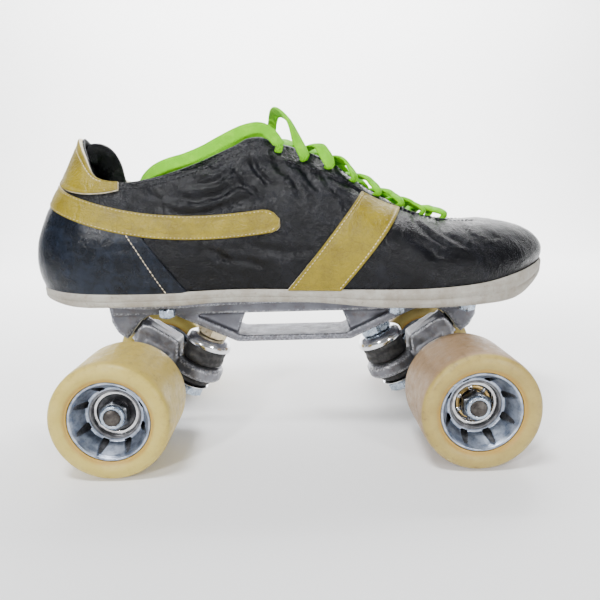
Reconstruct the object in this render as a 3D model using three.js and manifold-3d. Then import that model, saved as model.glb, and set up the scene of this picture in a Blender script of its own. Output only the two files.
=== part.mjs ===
// A quad roller skate: a lace-up leather shoe bolted to a cast truss plate with two
// cushioned trucks and four bearing wheels. Millimetres, +Z up, +X to the toe, -Y the
// outer side of the foot. The origin is on the floor, midway between the two axles.
import * as THREE from "three";
import { ConvexGeometry } from "three/addons/geometries/ConvexGeometry.js";
import { LoftGeometry } from "three/addons/geometries/LoftGeometry.js";
import { mergeVertices } from "three/addons/utils/BufferGeometryUtils.js";
import Module from "manifold-3d";

const wasm = await Module();
wasm.setup();

// ---- driving dimensions -----------------------------------------------------------
const GAP = 0.3; // between pieces that touch
const WHEELBASE = 172;
const WHEEL_R = 28.5;
const WHEEL_WIDTH = 42;
const WHEEL_Y = 55; // centre plane of a wheel
const HUB_R = 19.3;
const HUB_RECESS = 2; // hub rim below the tyre's side
const DISH_FLOOR = 9.6; // from the wheel's centre plane to the floor of the dish
const DISH_R = 13;
const SLOT_COUNT = 8;
const SLOT_WIDTH = 3.2;
const BEARING_R = 11;
const BEARING_WIDTH = 7;
const BEARING_OFFSET = 4.2; // centre of a bearing from the wheel's centre plane
const BEARING_SEAT_CLEARANCE = 0.15;
const BEARING_BORE_R = 4.15;
const AXLE_R = 3.9;
const AXLE_NUT_FLATS = 13;
const AXLE_NUT_HEIGHT = 6.5;
const AXLE_STICKOUT = 1.6; // thread beyond the nut

const KINGPIN_INSET = 29; // centre of the hanger's ring, in from the axle
const RING_RISE = 2; // and above it
const KINGPIN_X = WHEELBASE / 2 - KINGPIN_INSET;
const RING_Z = WHEEL_R + RING_RISE;
const KINGPIN_TILT = THREE.MathUtils.degToRad(25);
const PIVOT_TILT = THREE.MathUtils.degToRad(37);
const KINGPIN_R = 4.8;
const RING_R = 14.6;
const RING_HALF = 4;
const RING_BORE_R = 7;
const UPPER_CUSHION_R = 12.4;
const UPPER_CUSHION_HEIGHT = 12.9;
const LOWER_CUSHION_R = 10.4;
const LOWER_CUSHION_HEIGHT = 4.8;
const CUP_R = 13.5;
const CUP_WALL = 0.9;
const JAM_NUT_FLATS = 17;
const JAM_NUT_HEIGHT = 5.7;
const WASHER_R = 9.8;
const WASHER_HEIGHT = 1.2;
const KINGPIN_NUT_FLATS = 15;
const KINGPIN_NUT_HEIGHT = 5.2;
const SEAT_DEPTH = 14.5; // thread of the kingpin inside the plate
const PIVOT_MOUTH = 42; // ring centre to the mouth of the pivot cup
const PIVOT_PIN_R = 4.4;
const PIVOT_PIN_LENGTH = 8;
const PIVOT_CUP_WALL = 1.6;
const ARM_HALF_WIDTH = 8;
const AXLE_HOUSING_R = 8.5;
const AXLE_SHOULDER_R = 6.2;

const SOLE_RISE = 46.5; // underside of the sole above the axles
const SOLE_BOTTOM = WHEEL_R + SOLE_RISE;
const FLANGE_THICKNESS = 3.7;
const RAIL_DROP = 9.8; // below the sole
const RAIL_BOTTOM = SOLE_BOTTOM - RAIL_DROP;
const RAIL_HALF_WIDTH = 15;
const TRUSS_DROP = 26.5;
const BAR_BOTTOM = SOLE_BOTTOM - TRUSS_DROP;
const BAR_THICKNESS = 3.5;
const BAR_HALF_WIDTH = 14;
const BOSS_HALF_WIDTH = 10.5;
const HOUSING_HALF_WIDTH = 11;
const PLATE_BOLTS = [[-68, 22], [55, 24.5], [94, 21]];
const BOLT_R = 2.4;
const BOLT_HEAD_R = 6;
const BOLT_HEAD_HEIGHT = 1.2;
const BOLT_NUT_FLATS = 7.5;
const BOLT_NUT_HEIGHT = 4.8;
const BOLT_STICKOUT = 1.2;
const BOLT_CLEARANCE = 0.35;

const LEATHER = 2.2; // thickness of the upper
const OVERLAY = 1.4; // thickness of the gold leather
const COUNTER = 0.9; // thickness of the heel counter's outer leather
const OVERLAY_GAP = 0.45; // under the pieces stitched on the upper
const SOLE_MARGIN = 1.8; // sole beyond the upper
const INSOLE_THICKNESS = 3;
const TONGUE_THICKNESS = 2.4;
const EYELETS = 8;
const EYELET_R = 3;
const EYELET_FIRST_X = -6; // top pair
const EYELET_LAST_X = 80; // pair at the throat
const EYELET_T = 0.905; // place between the sole and the topline
const LACE_WIDTH = 4.8;
const LACE_THICKNESS = 1.6;
const LACE_NECK = [3.6, 2];
const LACE_CLEARANCE = 0.75;
const LACE_ARCH = 16; // how far the loose top crossing stands up
const TAIL_WIDTH = 6.6;
const TAIL_THICKNESS = 2.2;

// ---- materials --------------------------------------------------------------------
const finish = (color, roughness, metalness = 0) =>
  new THREE.MeshStandardMaterial({ color, roughness, metalness });
const paint = {
  tyre: finish(0xd9bf87, 0.45),
  hub: finish(0xa9afb8, 0.35, 0.9),
  bearing: finish(0x4a4d52, 0.4, 0.8),
  steel: finish(0x9a9a98, 0.3, 1),
  zinc: finish(0xa7b2bd, 0.3, 1),
  cast: finish(0x8a8a90, 0.5, 0.9),
  cushion: finish(0x1d1d20, 0.8),
  cup: finish(0xc4c6ca, 0.15, 1),
  nylon: finish(0xd8cfae, 0.5),
  black: finish(0x14151a, 0.35),
  counter: finish(0x1b202b, 0.3),
  gold: finish(0xa5862c, 0.45),
  sole: finish(0xc9bfae, 0.7),
  insole: finish(0x2a2523, 0.8),
  lace: finish(0x8fdc3f, 0.7),
};

// ---- solids -----------------------------------------------------------------------
function solid(geometry) {
  const bare = new THREE.BufferGeometry();
  bare.setAttribute("position", geometry.getAttribute("position"));
  bare.setIndex(geometry.index);
  const merged = mergeVertices(bare, 1e-4);
  const numbers = merged.index ? merged.index.array : [...merged.attributes.position.array.keys()];
  const made = new wasm.Manifold(
    new wasm.Mesh({
      numProp: 3,
      vertProperties: new Float32Array(merged.attributes.position.array),
      triVerts: new Uint32Array(numbers),
    }),
  );
  return made;
}

function geometryOf(made) {
  const mesh = made.getMesh();
  const geometry = new THREE.BufferGeometry();
  geometry.setAttribute("position", new THREE.BufferAttribute(mesh.vertProperties, 3));
  geometry.setIndex(new THREE.BufferAttribute(mesh.triVerts, 1));
  geometry.computeVertexNormals();
  return geometry;
}

function join(geometries) {
  return geometries.map(solid).reduce((whole, next) => whole.add(next));
}

function cut(whole, tools) {
  return tools.map(solid).reduce((left, tool) => left.subtract(tool), whole);
}

const centre = (points) =>
  points.reduce((sum, p) => sum.add(p), new THREE.Vector3()).divideScalar(points.length);

// Whether a section's points turn anticlockwise seen from the sections after it.
function windsForward([first, second]) {
  const normal = new THREE.Vector3();
  const middle = centre(first);
  first.forEach((p, i) => {
    const next = first[(i + 1) % first.length].clone().sub(middle);
    normal.add(p.clone().sub(middle).cross(next));
  });
  return normal.dot(centre(second).sub(middle)) > 0;
}

// A capped loft, taken in the order that turns its faces out.
function loft(sections) {
  const rows = windsForward(sections) ? sections : [...sections].reverse();
  return new LoftGeometry(rows, { closed: true, capStart: true, capEnd: true });
}

// A ring or disc turned about Z from a closed profile of [radius, height] points.
function turned(profile, segments = 24, phase = Math.PI / segments) {
  const loop = [...profile];
  const onAxis = loop[0][0] === 0;
  if (!onAxis) loop.push(loop[0]);
  const points = loop.map(([r, z]) => new THREE.Vector2(r, z));
  const geometry = new THREE.LatheGeometry(points, segments, phase);
  return geometry.rotateX(Math.PI / 2);
}

// Adds the mirror image of a half profile, so that the loop runs on round the far side.
const bothSides = (half) => [...half.map(([r, z]) => [r, -z]).reverse(), ...half];

function hexagon(flats, height, boreR) {
  const corner = flats / 2 / Math.cos(Math.PI / 6);
  const shape = new THREE.Shape();
  for (let i = 0; i < 6; i++) {
    const angle = (i * Math.PI) / 3;
    shape[i ? "lineTo" : "moveTo"](corner * Math.cos(angle), corner * Math.sin(angle));
  }
  shape.closePath();
  if (boreR) {
    const hole = new THREE.Path();
    hole.absarc(0, 0, boreR, 0, Math.PI * 2, true);
    shape.holes.push(hole);
  }
  return new THREE.ExtrudeGeometry(shape, { depth: height, bevelEnabled: false, curveSegments: 6 });
}

function rod(radius, from, to, segments = 12) {
  return turned([[0, from], [radius, from], [radius, to], [0, to]], segments);
}

// A slab whose side view in X and Z is a polygon, as wide as two half widths in Y.
function slab(points, halfWidth) {
  const shape = new THREE.Shape(points.map(([x, z]) => new THREE.Vector2(x, z)));
  const geometry = new THREE.ExtrudeGeometry(shape, { depth: 2 * halfWidth, bevelEnabled: false });
  return geometry.rotateX(Math.PI / 2).translate(0, halfWidth, 0);
}

const model = new THREE.Group();

function add(parent, name, geometry, material) {
  const mesh = new THREE.Mesh(geometry, material);
  mesh.name = name;
  parent.add(mesh);
  return mesh;
}

// ---- wheels -----------------------------------------------------------------------
// A wheel turns about its own Z, with +Z to the outside of the skate.
const WHEEL_SEGMENTS = 32;
const HUB_SEGMENTS = 16;

function tyre() {
  const half = WHEEL_WIDTH / 2;
  const seat = HUB_R + GAP;
  const rim = half - HUB_RECESS;
  const flatR = WHEEL_R / Math.cos(Math.PI / WHEEL_SEGMENTS);
  const outboard = [[flatR, half - 3.8], [WHEEL_R - 1.2, half - 1], [WHEEL_R - 4, half], [seat, rim]];
  return turned(bothSides(outboard), WHEEL_SEGMENTS);
}

function hub() {
  const rim = WHEEL_WIDTH / 2 - HUB_RECESS;
  const seatR = BEARING_R + BEARING_SEAT_CLEARANCE;
  const shoulder = BEARING_OFFSET - BEARING_WIDTH / 2 - GAP / 2;
  const outboard = [
    [HUB_R, rim],
    [HUB_R - 1, rim - 0.3],
    [DISH_R, DISH_FLOOR],
    [seatR, DISH_FLOOR],
    [seatR, shoulder],
    [seatR - 1.6, shoulder],
  ];
  const body = turned(bothSides(outboard), HUB_SEGMENTS);
  const slots = [];
  for (let side = 0; side < 2; side++) {
    for (let i = 0; i < SLOT_COUNT; i++) {
      slots.push(hubSlot(side, (i + 0.5) * ((2 * Math.PI) / SLOT_COUNT)));
    }
  }
  return geometryOf(cut(solid(body), slots));
}

// A slot that starts deep at the foot of the dish and runs out at the rim.
function hubSlot(side, angle) {
  const rim = WHEEL_WIDTH / 2 - HUB_RECESS;
  const inner = DISH_R + 1;
  const outline = [
    [inner, DISH_FLOOR - 3],
    [inner + 1.6, DISH_FLOOR - 3],
    [HUB_R - 1.2, rim + 1],
    [inner, rim + 1],
  ];
  const geometry = slab(outline, SLOT_WIDTH / 2);
  if (side) geometry.rotateX(Math.PI);
  return geometry.rotateZ(angle);
}

function bearing() {
  const half = BEARING_WIDTH / 2;
  const profile = [[BEARING_BORE_R, -half], [BEARING_R, -half], [BEARING_R, half], [BEARING_BORE_R, half]];
  return turned(profile, HUB_SEGMENTS);
}

function addWheel(name, x, side) {
  const wheel = new THREE.Group();
  wheel.position.set(x, side * WHEEL_Y, WHEEL_R);
  wheel.rotation.x = -side * Math.PI / 2;
  model.add(wheel);
  add(wheel, name + "_tyre", tyre(), paint.tyre);
  add(wheel, name + "_hub", hub(), paint.hub);
  add(wheel, name + "_bearing_outboard", bearing(), paint.bearing).position.z = BEARING_OFFSET;
  add(wheel, name + "_bearing_inboard", bearing(), paint.bearing).position.z = -BEARING_OFFSET;
}

// ---- trucks -----------------------------------------------------------------------
// A truck is drawn for the front: +X is outwards along the skate.
const ALONG_KINGPIN = new THREE.Vector3(-Math.sin(KINGPIN_TILT), 0, Math.cos(KINGPIN_TILT));
const OUT_OF_KINGPIN = new THREE.Vector3(Math.cos(KINGPIN_TILT), 0, Math.sin(KINGPIN_TILT));
const ALONG_PIVOT = new THREE.Vector3(Math.cos(PIVOT_TILT), 0, Math.sin(PIVOT_TILT));
const RING_CENTRE = new THREE.Vector3(KINGPIN_X, 0, RING_Z);

// Stations along the kingpin, counted up from the middle of the hanger's ring.
const UPPER_CUSHION_BASE = RING_HALF + GAP;
const UPPER_CUSHION_TOP = UPPER_CUSHION_BASE + UPPER_CUSHION_HEIGHT;
const CUP_TOP = UPPER_CUSHION_TOP + GAP + 3.2;
const JAM_NUT_BASE = CUP_TOP + GAP;
const SEAT = JAM_NUT_BASE + JAM_NUT_HEIGHT + GAP;
const LOWER_CUSHION_BASE = -RING_HALF - GAP - LOWER_CUSHION_HEIGHT;
const WASHER_BASE = LOWER_CUSHION_BASE - GAP - WASHER_HEIGHT;
const KINGPIN_NUT_BASE = WASHER_BASE - GAP - KINGPIN_NUT_HEIGHT;
const SEAT_POINT = RING_CENTRE.clone().addScaledVector(ALONG_KINGPIN, SEAT);

const onKingpin = (geometry) => place(geometry, ALONG_KINGPIN, RING_CENTRE);
const onPivot = (geometry) => place(geometry, ALONG_PIVOT, RING_CENTRE);

function place(geometry, axis, origin) {
  const turn = new THREE.Quaternion().setFromUnitVectors(new THREE.Vector3(0, 0, 1), axis);
  return geometry.applyQuaternion(turn).translate(origin.x, origin.y, origin.z);
}

// Side-view coordinates given as [out from the kingpin, up along it].
function fromKingpin([out, up]) {
  const point = RING_CENTRE.clone()
    .addScaledVector(OUT_OF_KINGPIN, out)
    .addScaledVector(ALONG_KINGPIN, up);
  return [point.x, point.z];
}

function hanger() {
  const rounded = 1.4;
  const ring = turned([
    [RING_BORE_R, -RING_HALF],
    [RING_R - rounded, -RING_HALF],
    [RING_R, -RING_HALF + rounded],
    [RING_R, RING_HALF - rounded],
    [RING_R - rounded, RING_HALF],
    [RING_BORE_R, RING_HALF],
  ], 20);
  const axleX = WHEELBASE / 2;
  const bearingFace = WHEEL_Y - BEARING_OFFSET - BEARING_WIDTH / 2 - GAP;
  const housingEnd = WHEEL_Y - WHEEL_WIDTH / 2 - 3;
  const half = [
    [AXLE_HOUSING_R, housingEnd - 8],
    [AXLE_SHOULDER_R, housingEnd],
    [AXLE_SHOULDER_R, bearingFace],
    [0, bearingFace],
  ];
  const barrel = turned(bothSides(half), 16)
    .rotateX(Math.PI / 2)
    .translate(axleX, 0, WHEEL_R);
  const webEdge = [
    [UPPER_CUSHION_R + 1, -RING_HALF],
    [UPPER_CUSHION_R + 1, 5],
    [UPPER_CUSHION_R + 3.2, 11.8],
    [33, 14.6],
    [38, 13],
    [39, 2],
    [34, -12],
    [27, -19],
    [19, -14],
    [14, -7],
  ].map(fromKingpin);
  const web = slab(webEdge, ARM_HALF_WIDTH);
  const boss = rod(ARM_HALF_WIDTH, 25, PIVOT_MOUTH - 1.2, 14);
  const tip = PIVOT_MOUTH + PIVOT_PIN_LENGTH;
  const pin = turned(
    [[0, 30], [PIVOT_PIN_R, 30], [PIVOT_PIN_R, tip - 2.4], [PIVOT_PIN_R - 1.6, tip - 0.4], [0, tip]],
    12,
  );
  const wing = gusset(axleX);
  const whole = join([onKingpin(ring), web, onPivot(boss), onPivot(pin), wing, barrel]);
  const bore = rod(AXLE_R + 0.2, -WHEEL_Y, WHEEL_Y)
    .rotateX(Math.PI / 2)
    .translate(axleX, 0, WHEEL_R);
  return geometryOf(cut(whole, [bore]));
}

// The wing that spreads from the ring and the arm out to both ends of the axle housing.
function gusset(axleX) {
  const spread = WHEEL_Y - WHEEL_WIDTH / 2 - 9;
  const points = [];
  for (const side of [-1, 1]) {
    for (const dz of [-5, 5]) points.push(new THREE.Vector3(axleX, side * spread, WHEEL_R + dz));
    for (const [out, up] of [[13.5, -3.5], [16, 4], [33, 6], [30, -12]]) {
      const [x, z] = fromKingpin([out, up]);
      points.push(new THREE.Vector3(x, side * (ARM_HALF_WIDTH - 0.5), z));
    }
  }
  return new ConvexGeometry(points);
}

function cushionCup() {
  const inner = UPPER_CUSHION_R + GAP;
  const bore = KINGPIN_R + GAP;
  const floor = UPPER_CUSHION_TOP + GAP;
  return turned([
    [bore, floor],
    [inner - 1.6, floor],
    [inner, floor - 2.3],
    [inner + CUP_WALL - 0.1, floor - 2.3],
    [CUP_R + 0.1, floor + 0.4],
    [CUP_R - 3, CUP_TOP],
    [bore, CUP_TOP],
  ], 20);
}

function upperCushion() {
  const bore = KINGPIN_R + GAP;
  return turned([
    [bore, UPPER_CUSHION_BASE],
    [UPPER_CUSHION_R - 1, UPPER_CUSHION_BASE],
    [UPPER_CUSHION_R, UPPER_CUSHION_BASE + 2],
    [UPPER_CUSHION_R - 0.3, UPPER_CUSHION_TOP - 4],
    [UPPER_CUSHION_R - 2, UPPER_CUSHION_TOP],
    [bore, UPPER_CUSHION_TOP],
  ], 20);
}

function lowerCushion() {
  const bore = KINGPIN_R + GAP;
  const top = LOWER_CUSHION_BASE + LOWER_CUSHION_HEIGHT;
  return turned([
    [bore, LOWER_CUSHION_BASE],
    [LOWER_CUSHION_R - 2, LOWER_CUSHION_BASE],
    [LOWER_CUSHION_R, top],
    [bore, top],
  ], 20);
}

function ring(boreR, outerR, from, to, segments = 20) {
  return turned([[boreR, from], [outerR, from], [outerR, to], [boreR, to]], segments);
}

function pivotCup() {
  const inner = PIVOT_PIN_R + GAP;
  const outer = inner + PIVOT_CUP_WALL;
  const tip = PIVOT_MOUTH + PIVOT_PIN_LENGTH + GAP;
  return turned([
    [0, tip],
    [inner, tip],
    [inner, PIVOT_MOUTH],
    [outer, PIVOT_MOUTH],
    [outer, tip + 1.5],
    [0, tip + 1.5],
  ], 12);
}

function addTruck(name, turn) {
  const truck = new THREE.Group();
  truck.rotation.z = turn;
  model.add(truck);
  const bore = KINGPIN_R + GAP;
  const kingpin = rod(KINGPIN_R, KINGPIN_NUT_BASE - 1.2, SEAT + SEAT_DEPTH - GAP);
  const jamNut = hexagon(JAM_NUT_FLATS, JAM_NUT_HEIGHT, bore).translate(0, 0, JAM_NUT_BASE);
  const nut = hexagon(KINGPIN_NUT_FLATS, KINGPIN_NUT_HEIGHT, bore);
  nut.translate(0, 0, KINGPIN_NUT_BASE);
  const washer = ring(bore, WASHER_R, WASHER_BASE, WASHER_BASE + WASHER_HEIGHT);
  add(truck, name + "_hanger", hanger(), paint.cast);
  add(truck, name + "_kingpin", onKingpin(kingpin), paint.steel);
  add(truck, name + "_jam_nut", onKingpin(jamNut), paint.zinc);
  add(truck, name + "_cushion_cup", onKingpin(cushionCup()), paint.cup);
  add(truck, name + "_cushion_upper", onKingpin(upperCushion()), paint.cushion);
  add(truck, name + "_cushion_lower", onKingpin(lowerCushion()), paint.cushion);
  add(truck, name + "_cushion_washer", onKingpin(washer), paint.steel);
  add(truck, name + "_kingpin_nut", onKingpin(nut), paint.zinc);
  add(truck, name + "_pivot_cup", onPivot(pivotCup()), paint.nylon);
  addAxle(truck, name);
}

function addAxle(truck, name) {
  const nutBase = WHEEL_Y + BEARING_OFFSET + BEARING_WIDTH / 2 + GAP;
  const end = nutBase + AXLE_NUT_HEIGHT + AXLE_STICKOUT;
  const across = (geometry) => geometry.rotateX(Math.PI / 2).translate(WHEELBASE / 2, 0, WHEEL_R);
  add(truck, name + "_axle", across(rod(AXLE_R, -end, end)), paint.steel);
  for (const side of [-1, 1]) {
    const nut = hexagon(AXLE_NUT_FLATS, AXLE_NUT_HEIGHT, AXLE_R + 0.2);
    nut.translate(0, 0, side > 0 ? nutBase : -nutBase - AXLE_NUT_HEIGHT);
    const outside = truck.rotation.z ? side < 0 : side > 0;
    add(truck, name + "_axle_nut_" + (outside ? "outer" : "inner"), across(nut), paint.zinc);
  }
}

// ---- plate ------------------------------------------------------------------------
function flange() {
  const half = new THREE.SplineCurve([
    new THREE.Vector2(-104, 0),
    new THREE.Vector2(-101, 17),
    new THREE.Vector2(-90, 25),
    new THREE.Vector2(-66, 28),
    new THREE.Vector2(-35, 21),
    new THREE.Vector2(0, 19.5),
    new THREE.Vector2(30, 25),
    new THREE.Vector2(58, 30.5),
    new THREE.Vector2(90, 28),
    new THREE.Vector2(108, 20),
    new THREE.Vector2(116, 0),
  ]).getPoints(28);
  const other = half.slice(1, -1).reverse().map(({ x, y }) => new THREE.Vector2(x, -y));
  const shape = new THREE.Shape([...half, ...other]);
  const depth = FLANGE_THICKNESS;
  const geometry = new THREE.ExtrudeGeometry(shape, { depth, bevelEnabled: false });
  return geometry.translate(0, 0, SOLE_BOTTOM - GAP - FLANGE_THICKNESS);
}

// Mirrors a side view to the other end of the plate.
const bothEnds = (points) => [points, points.map(([x, z]) => [-x, z]).reverse()];

function plate() {
  const railTop = SOLE_BOTTOM - GAP - FLANGE_THICKNESS + 0.5;
  const slope = Math.tan(KINGPIN_TILT);
  const bend = SEAT_POINT.x - (SEAT_POINT.z - BAR_BOTTOM) / slope;
  const seatThickness = BAR_THICKNESS + 1;
  const rise = RAIL_BOTTOM + 1 - BAR_BOTTOM;
  const outer = bend + rise / slope;
  const inner = outer - seatThickness / Math.sin(KINGPIN_TILT);
  const innerBend = inner - (rise - BAR_THICKNESS) / slope;
  const level = RAIL_BOTTOM + 1;
  const truss = [
    [-outer, level],
    [-bend, BAR_BOTTOM],
    [bend, BAR_BOTTOM],
    [outer, level],
    [inner, level],
    [innerBend, BAR_BOTTOM + BAR_THICKNESS],
    [-innerBend, BAR_BOTTOM + BAR_THICKNESS],
    [-inner, level],
  ];
  const bossFoot = BAR_BOTTOM + BAR_THICKNESS + 0.6;
  const boss = [[innerBend - 2, level], [innerBend + 3.6, bossFoot], [inner + 2, level]];
  const mouth = RING_CENTRE.clone().addScaledVector(ALONG_PIVOT, PIVOT_MOUTH);
  const across = new THREE.Vector2(-Math.sin(PIVOT_TILT), Math.cos(PIVOT_TILT));
  const housing = [
    [mouth.x - 14, level],
    [mouth.x + 6.8 * across.x, mouth.z + 6.8 * across.y],
    [mouth.x - 6.3 * across.x, mouth.z - 6.3 * across.y],
    [mouth.x + 8.4, mouth.z - 1.6],
    [mouth.x + 11.6, mouth.z + 4.6],
    [mouth.x + 13, railTop],
    [mouth.x - 14, railTop],
  ];
  const railEnd = mouth.x + 10;
  const rail = [[-railEnd, RAIL_BOTTOM], [railEnd, RAIL_BOTTOM], [railEnd, railTop], [-railEnd, railTop]];
  const body = join([
    flange(),
    slab(rail, RAIL_HALF_WIDTH),
    slab(truss, BAR_HALF_WIDTH),
    ...bothEnds(boss).map((points) => slab(points, BOSS_HALF_WIDTH)),
    ...bothEnds(housing).map((points) => slab(points, HOUSING_HALF_WIDTH)),
  ]);
  return geometryOf(cut(body, plateCuts()));
}

function plateCuts() {
  const pocketLength = 2 * (KINGPIN_X - 31);
  const pocket = new THREE.BoxGeometry(pocketLength, 2 * RAIL_HALF_WIDTH - 8, 8);
  pocket.translate(0, 0, RAIL_BOTTOM);
  const cuts = [pocket];
  const cupR = PIVOT_PIN_R + PIVOT_CUP_WALL + 2 * GAP;
  const cupFloor = PIVOT_MOUTH + PIVOT_PIN_LENGTH + 1.5 + 2 * GAP;
  for (const turn of [0, Math.PI]) {
    cuts.push(onKingpin(rod(KINGPIN_R + GAP, SEAT - 6, SEAT + SEAT_DEPTH)).rotateZ(turn));
    cuts.push(onPivot(rod(cupR, PIVOT_MOUTH - 8, cupFloor)).rotateZ(turn));
  }
  return [...cuts, ...boltHoles(SOLE_BOTTOM - 20, SOLE_BOTTOM + 1)];
}

function eachBolt(visit) {
  for (const side of [-1, 1]) PLATE_BOLTS.forEach(([x, y], i) => visit(x, side * y, side, i));
}

function boltHoles(from, to) {
  const holes = [];
  eachBolt((x, y) => holes.push(rod(BOLT_R + BOLT_CLEARANCE, from, to, 8).translate(x, y, 0)));
  return holes;
}

// ---- shoe surface -----------------------------------------------------------------
// Each column of the upper runs from the sole's edge to the topline as a cubic curve:
// [edge of the sole], [low control], [high control], [topline], each as x, |y| and the
// height above the sole's underside.
const COLUMNS = [
  [[-136, 0, 8.4], [-146, 0, 34], [-124, 0, 56], [-112, 0, 86.5]],
  [[-129, 21, 7.6], [-138, 25, 33], [-118, 22, 54], [-106, 14, 76]],
  [[-108, 31, 5.8], [-114, 37, 31], [-103, 30, 52], [-98, 22, 64]],
  [[-72, 32, 5], [-74, 38, 31], [-77, 31, 49], [-80, 26, 62.5]],
  [[-30, 32, 6], [-38, 38, 33], [-50, 32, 53], [-56, 25, 68]],
  [[-5, 35, 6], [-10, 42, 34], [-24, 33, 61], [-31, 23.5, 78]],
  [[15, 38, 6], [8, 45, 33], [-8, 34, 62], [-18, 21, 83]],
  [[32, 41, 6], [27, 48, 31], [12, 35, 58], [-4, 18.5, 79.5]],
  [[50, 44, 6], [45, 51, 29], [32, 36, 51], [17, 17, 72]],
  [[72, 46, 6.5], [68, 52, 26], [54, 35, 43], [38, 15.5, 57]],
  [[98, 41, 8], [98, 46, 24], [82, 30, 39], [60, 13.5, 44]],
  [[124, 26, 12], [127, 30, 24], [112, 21, 40], [82, 9, 38]],
  [[141, 0, 15], [148.5, 0, 28], [125, 0, 42.5], [88, 0, 37.5]],
];
const SPAN = COLUMNS.length - 1; // column numbers: 0 at the heel, SPAN at the toe
const TOE_BEND_FROM = 30;
const TOE_BEND = 5; // how far the toe leans to the inner side

const lean = (x) => TOE_BEND * Math.max(0, (x - TOE_BEND_FROM) / 112) ** 2;

// Control point k of column i; columns past either end mirror to the other side.
function control(i, k) {
  let column = ((i % (2 * SPAN)) + 2 * SPAN) % (2 * SPAN);
  const mirrored = column > SPAN;
  if (mirrored) column = 2 * SPAN - column;
  const [x, y, z] = COLUMNS[column][k];
  return new THREE.Vector3(x, (mirrored ? 1 : -1) * y + lean(x), SOLE_BOTTOM + z);
}

// A control ring at column number s, between its four neighbours.
function ringPoint(s, k) {
  const i = Math.floor(s);
  const t = s - i;
  const [a, b, c, d] = [-1, 0, 1, 2].map((step) => control(i + step, k));
  const value = (axis) => {
    const v0 = (c[axis] - a[axis]) / 2;
    const v1 = (d[axis] - b[axis]) / 2;
    return (
      (2 * b[axis] - 2 * c[axis] + v0 + v1) * t ** 3 +
      (-3 * b[axis] + 3 * c[axis] - 2 * v0 - v1) * t ** 2 +
      v0 * t +
      b[axis]
    );
  };
  return new THREE.Vector3(value("x"), value("y"), value("z"));
}

// The outer face of the upper: s is the column number from the heel (negative is the
// inner side of the foot), t runs from the sole (0) to the topline (1).
function skin(s, t) {
  const u = 1 - t;
  return ringPoint(s, 0).multiplyScalar(u ** 3)
    .addScaledVector(ringPoint(s, 1), 3 * u * u * t)
    .addScaledVector(ringPoint(s, 2), 3 * u * t * t)
    .addScaledVector(ringPoint(s, 3), t ** 3);
}

function skinNormal(s, t) {
  const ds = skin(s + 0.02, t).sub(skin(s - 0.02, t));
  const dt = skin(s, Math.min(t + 0.01, 1)).sub(skin(s, Math.max(t - 0.01, 0)));
  return ds.cross(dt).normalize();
}

const offset = (s, t, out) => skin(s, t).addScaledVector(skinNormal(s, t), out);

// Finds where f changes sign between low and high.
function solve(f, low, high) {
  const sign = Math.sign(f(low));
  for (let i = 0; i < 26; i++) {
    const middle = (low + high) / 2;
    if (Math.sign(f(middle)) === sign) low = middle;
    else high = middle;
  }
  return (low + high) / 2;
}

const even = (count, from, to) =>
  Array.from({ length: count }, (_, i) => from + ((to - from) * i) / (count - 1));

// The closed outline of a patch's section: out along the inside, back along the outside.
function shellSection(places, inside, outside) {
  const under = places.map(([s, t]) => offset(s, t, inside));
  const over = places.map(([s, t]) => offset(s, t, outside)).reverse();
  return [...under, ...over];
}

// ---- upper and overlays -----------------------------------------------------------
const AROUND = 48;
const UP = 8;

function upperShell() {
  const row = (t, out) =>
    Array.from({ length: AROUND }, (_, i) => offset((i * 2 * SPAN) / AROUND, t, out));
  const levels = even(UP, 0, 1);
  const outer = levels.map((t) => row(t, 0));
  const inner = [...levels].reverse().map((t) => row(t, -LEATHER));
  return new LoftGeometry([...outer, ...inner, outer[0]], { closed: true });
}

function upper() {
  const holes = eyelets().map(({ point, normal }) =>
    place(rod(EYELET_R, -LEATHER * 2, LEATHER * 2, 6), normal, point));
  return geometryOf(cut(solid(upperShell()), holes));
}

// Height of the band's lower and upper edges along the shoe.
const BAND_RISE = 38.6; // lowest point of the band's middle above the sole's underside
const bandMiddle = (x) =>
  SOLE_BOTTOM + BAND_RISE + 0.0023 * (x + 48) ** 2 - 0.0000075 * (x + 48) ** 3;
const BAND_HALF = 5.9;
const BAND_END_X = -6;

const levelAt = (s, height) =>
  solve((t) => { const p = skin(s, t); return p.z - height(p.x); }, 0.02, 0.98);

function heelBand() {
  const tipFrom = 5.1;
  const end = solve((s) => skin(s, 0.45).x - BAND_END_X, 3, 8);
  const half = [...even(13, 0, tipFrom), ...even(5, tipFrom, end).slice(1)];
  const stations = [...half.slice(1).reverse().map((s) => -s), ...half];
  const sections = stations.map((s) => {
    const along = Math.max(0, (Math.abs(s) - tipFrom) / (end - tipFrom));
    const spread = BAND_HALF * Math.sqrt(Math.max(0.12, 1 - along ** 2));
    const low = levelAt(s, (x) => bandMiddle(x) - spread);
    const high = levelAt(s, (x) => bandMiddle(x) + spread);
    return shellSection(even(4, low, high).map((t) => [s, t]), OVERLAY_GAP, OVERLAY_GAP + OVERLAY);
  });
  return loft(sections);
}

const SEAM_FOOT_X = -54; // the counter's front seam, at the sole and at the band
const SEAM_HEAD_X = -76;

function heelCounter() {
  const seam = (z) =>
    SEAM_FOOT_X + ((z - SOLE_BOTTOM - 5) / 30) * (SEAM_HEAD_X - SEAM_FOOT_X);
  const levels = even(6, 0, 1).map((level) => {
    const tAt = (s) => {
      const top = levelAt(s, (x) => bandMiddle(x) - BAND_HALF - 1);
      return 0.01 + level * (top - 0.01);
    };
    const end = solve((s) => { const p = skin(s, tAt(s)); return p.x - seam(p.z); }, 1.5, 5);
    return { tAt, end };
  });
  const sections = even(21, -1, 1).map((across) => {
    const places = levels.map(({ tAt, end }) => [across * end, tAt(across * end)]);
    return shellSection(places, OVERLAY_GAP, OVERLAY_GAP + COUNTER);
  });
  return loft(sections);
}

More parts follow.
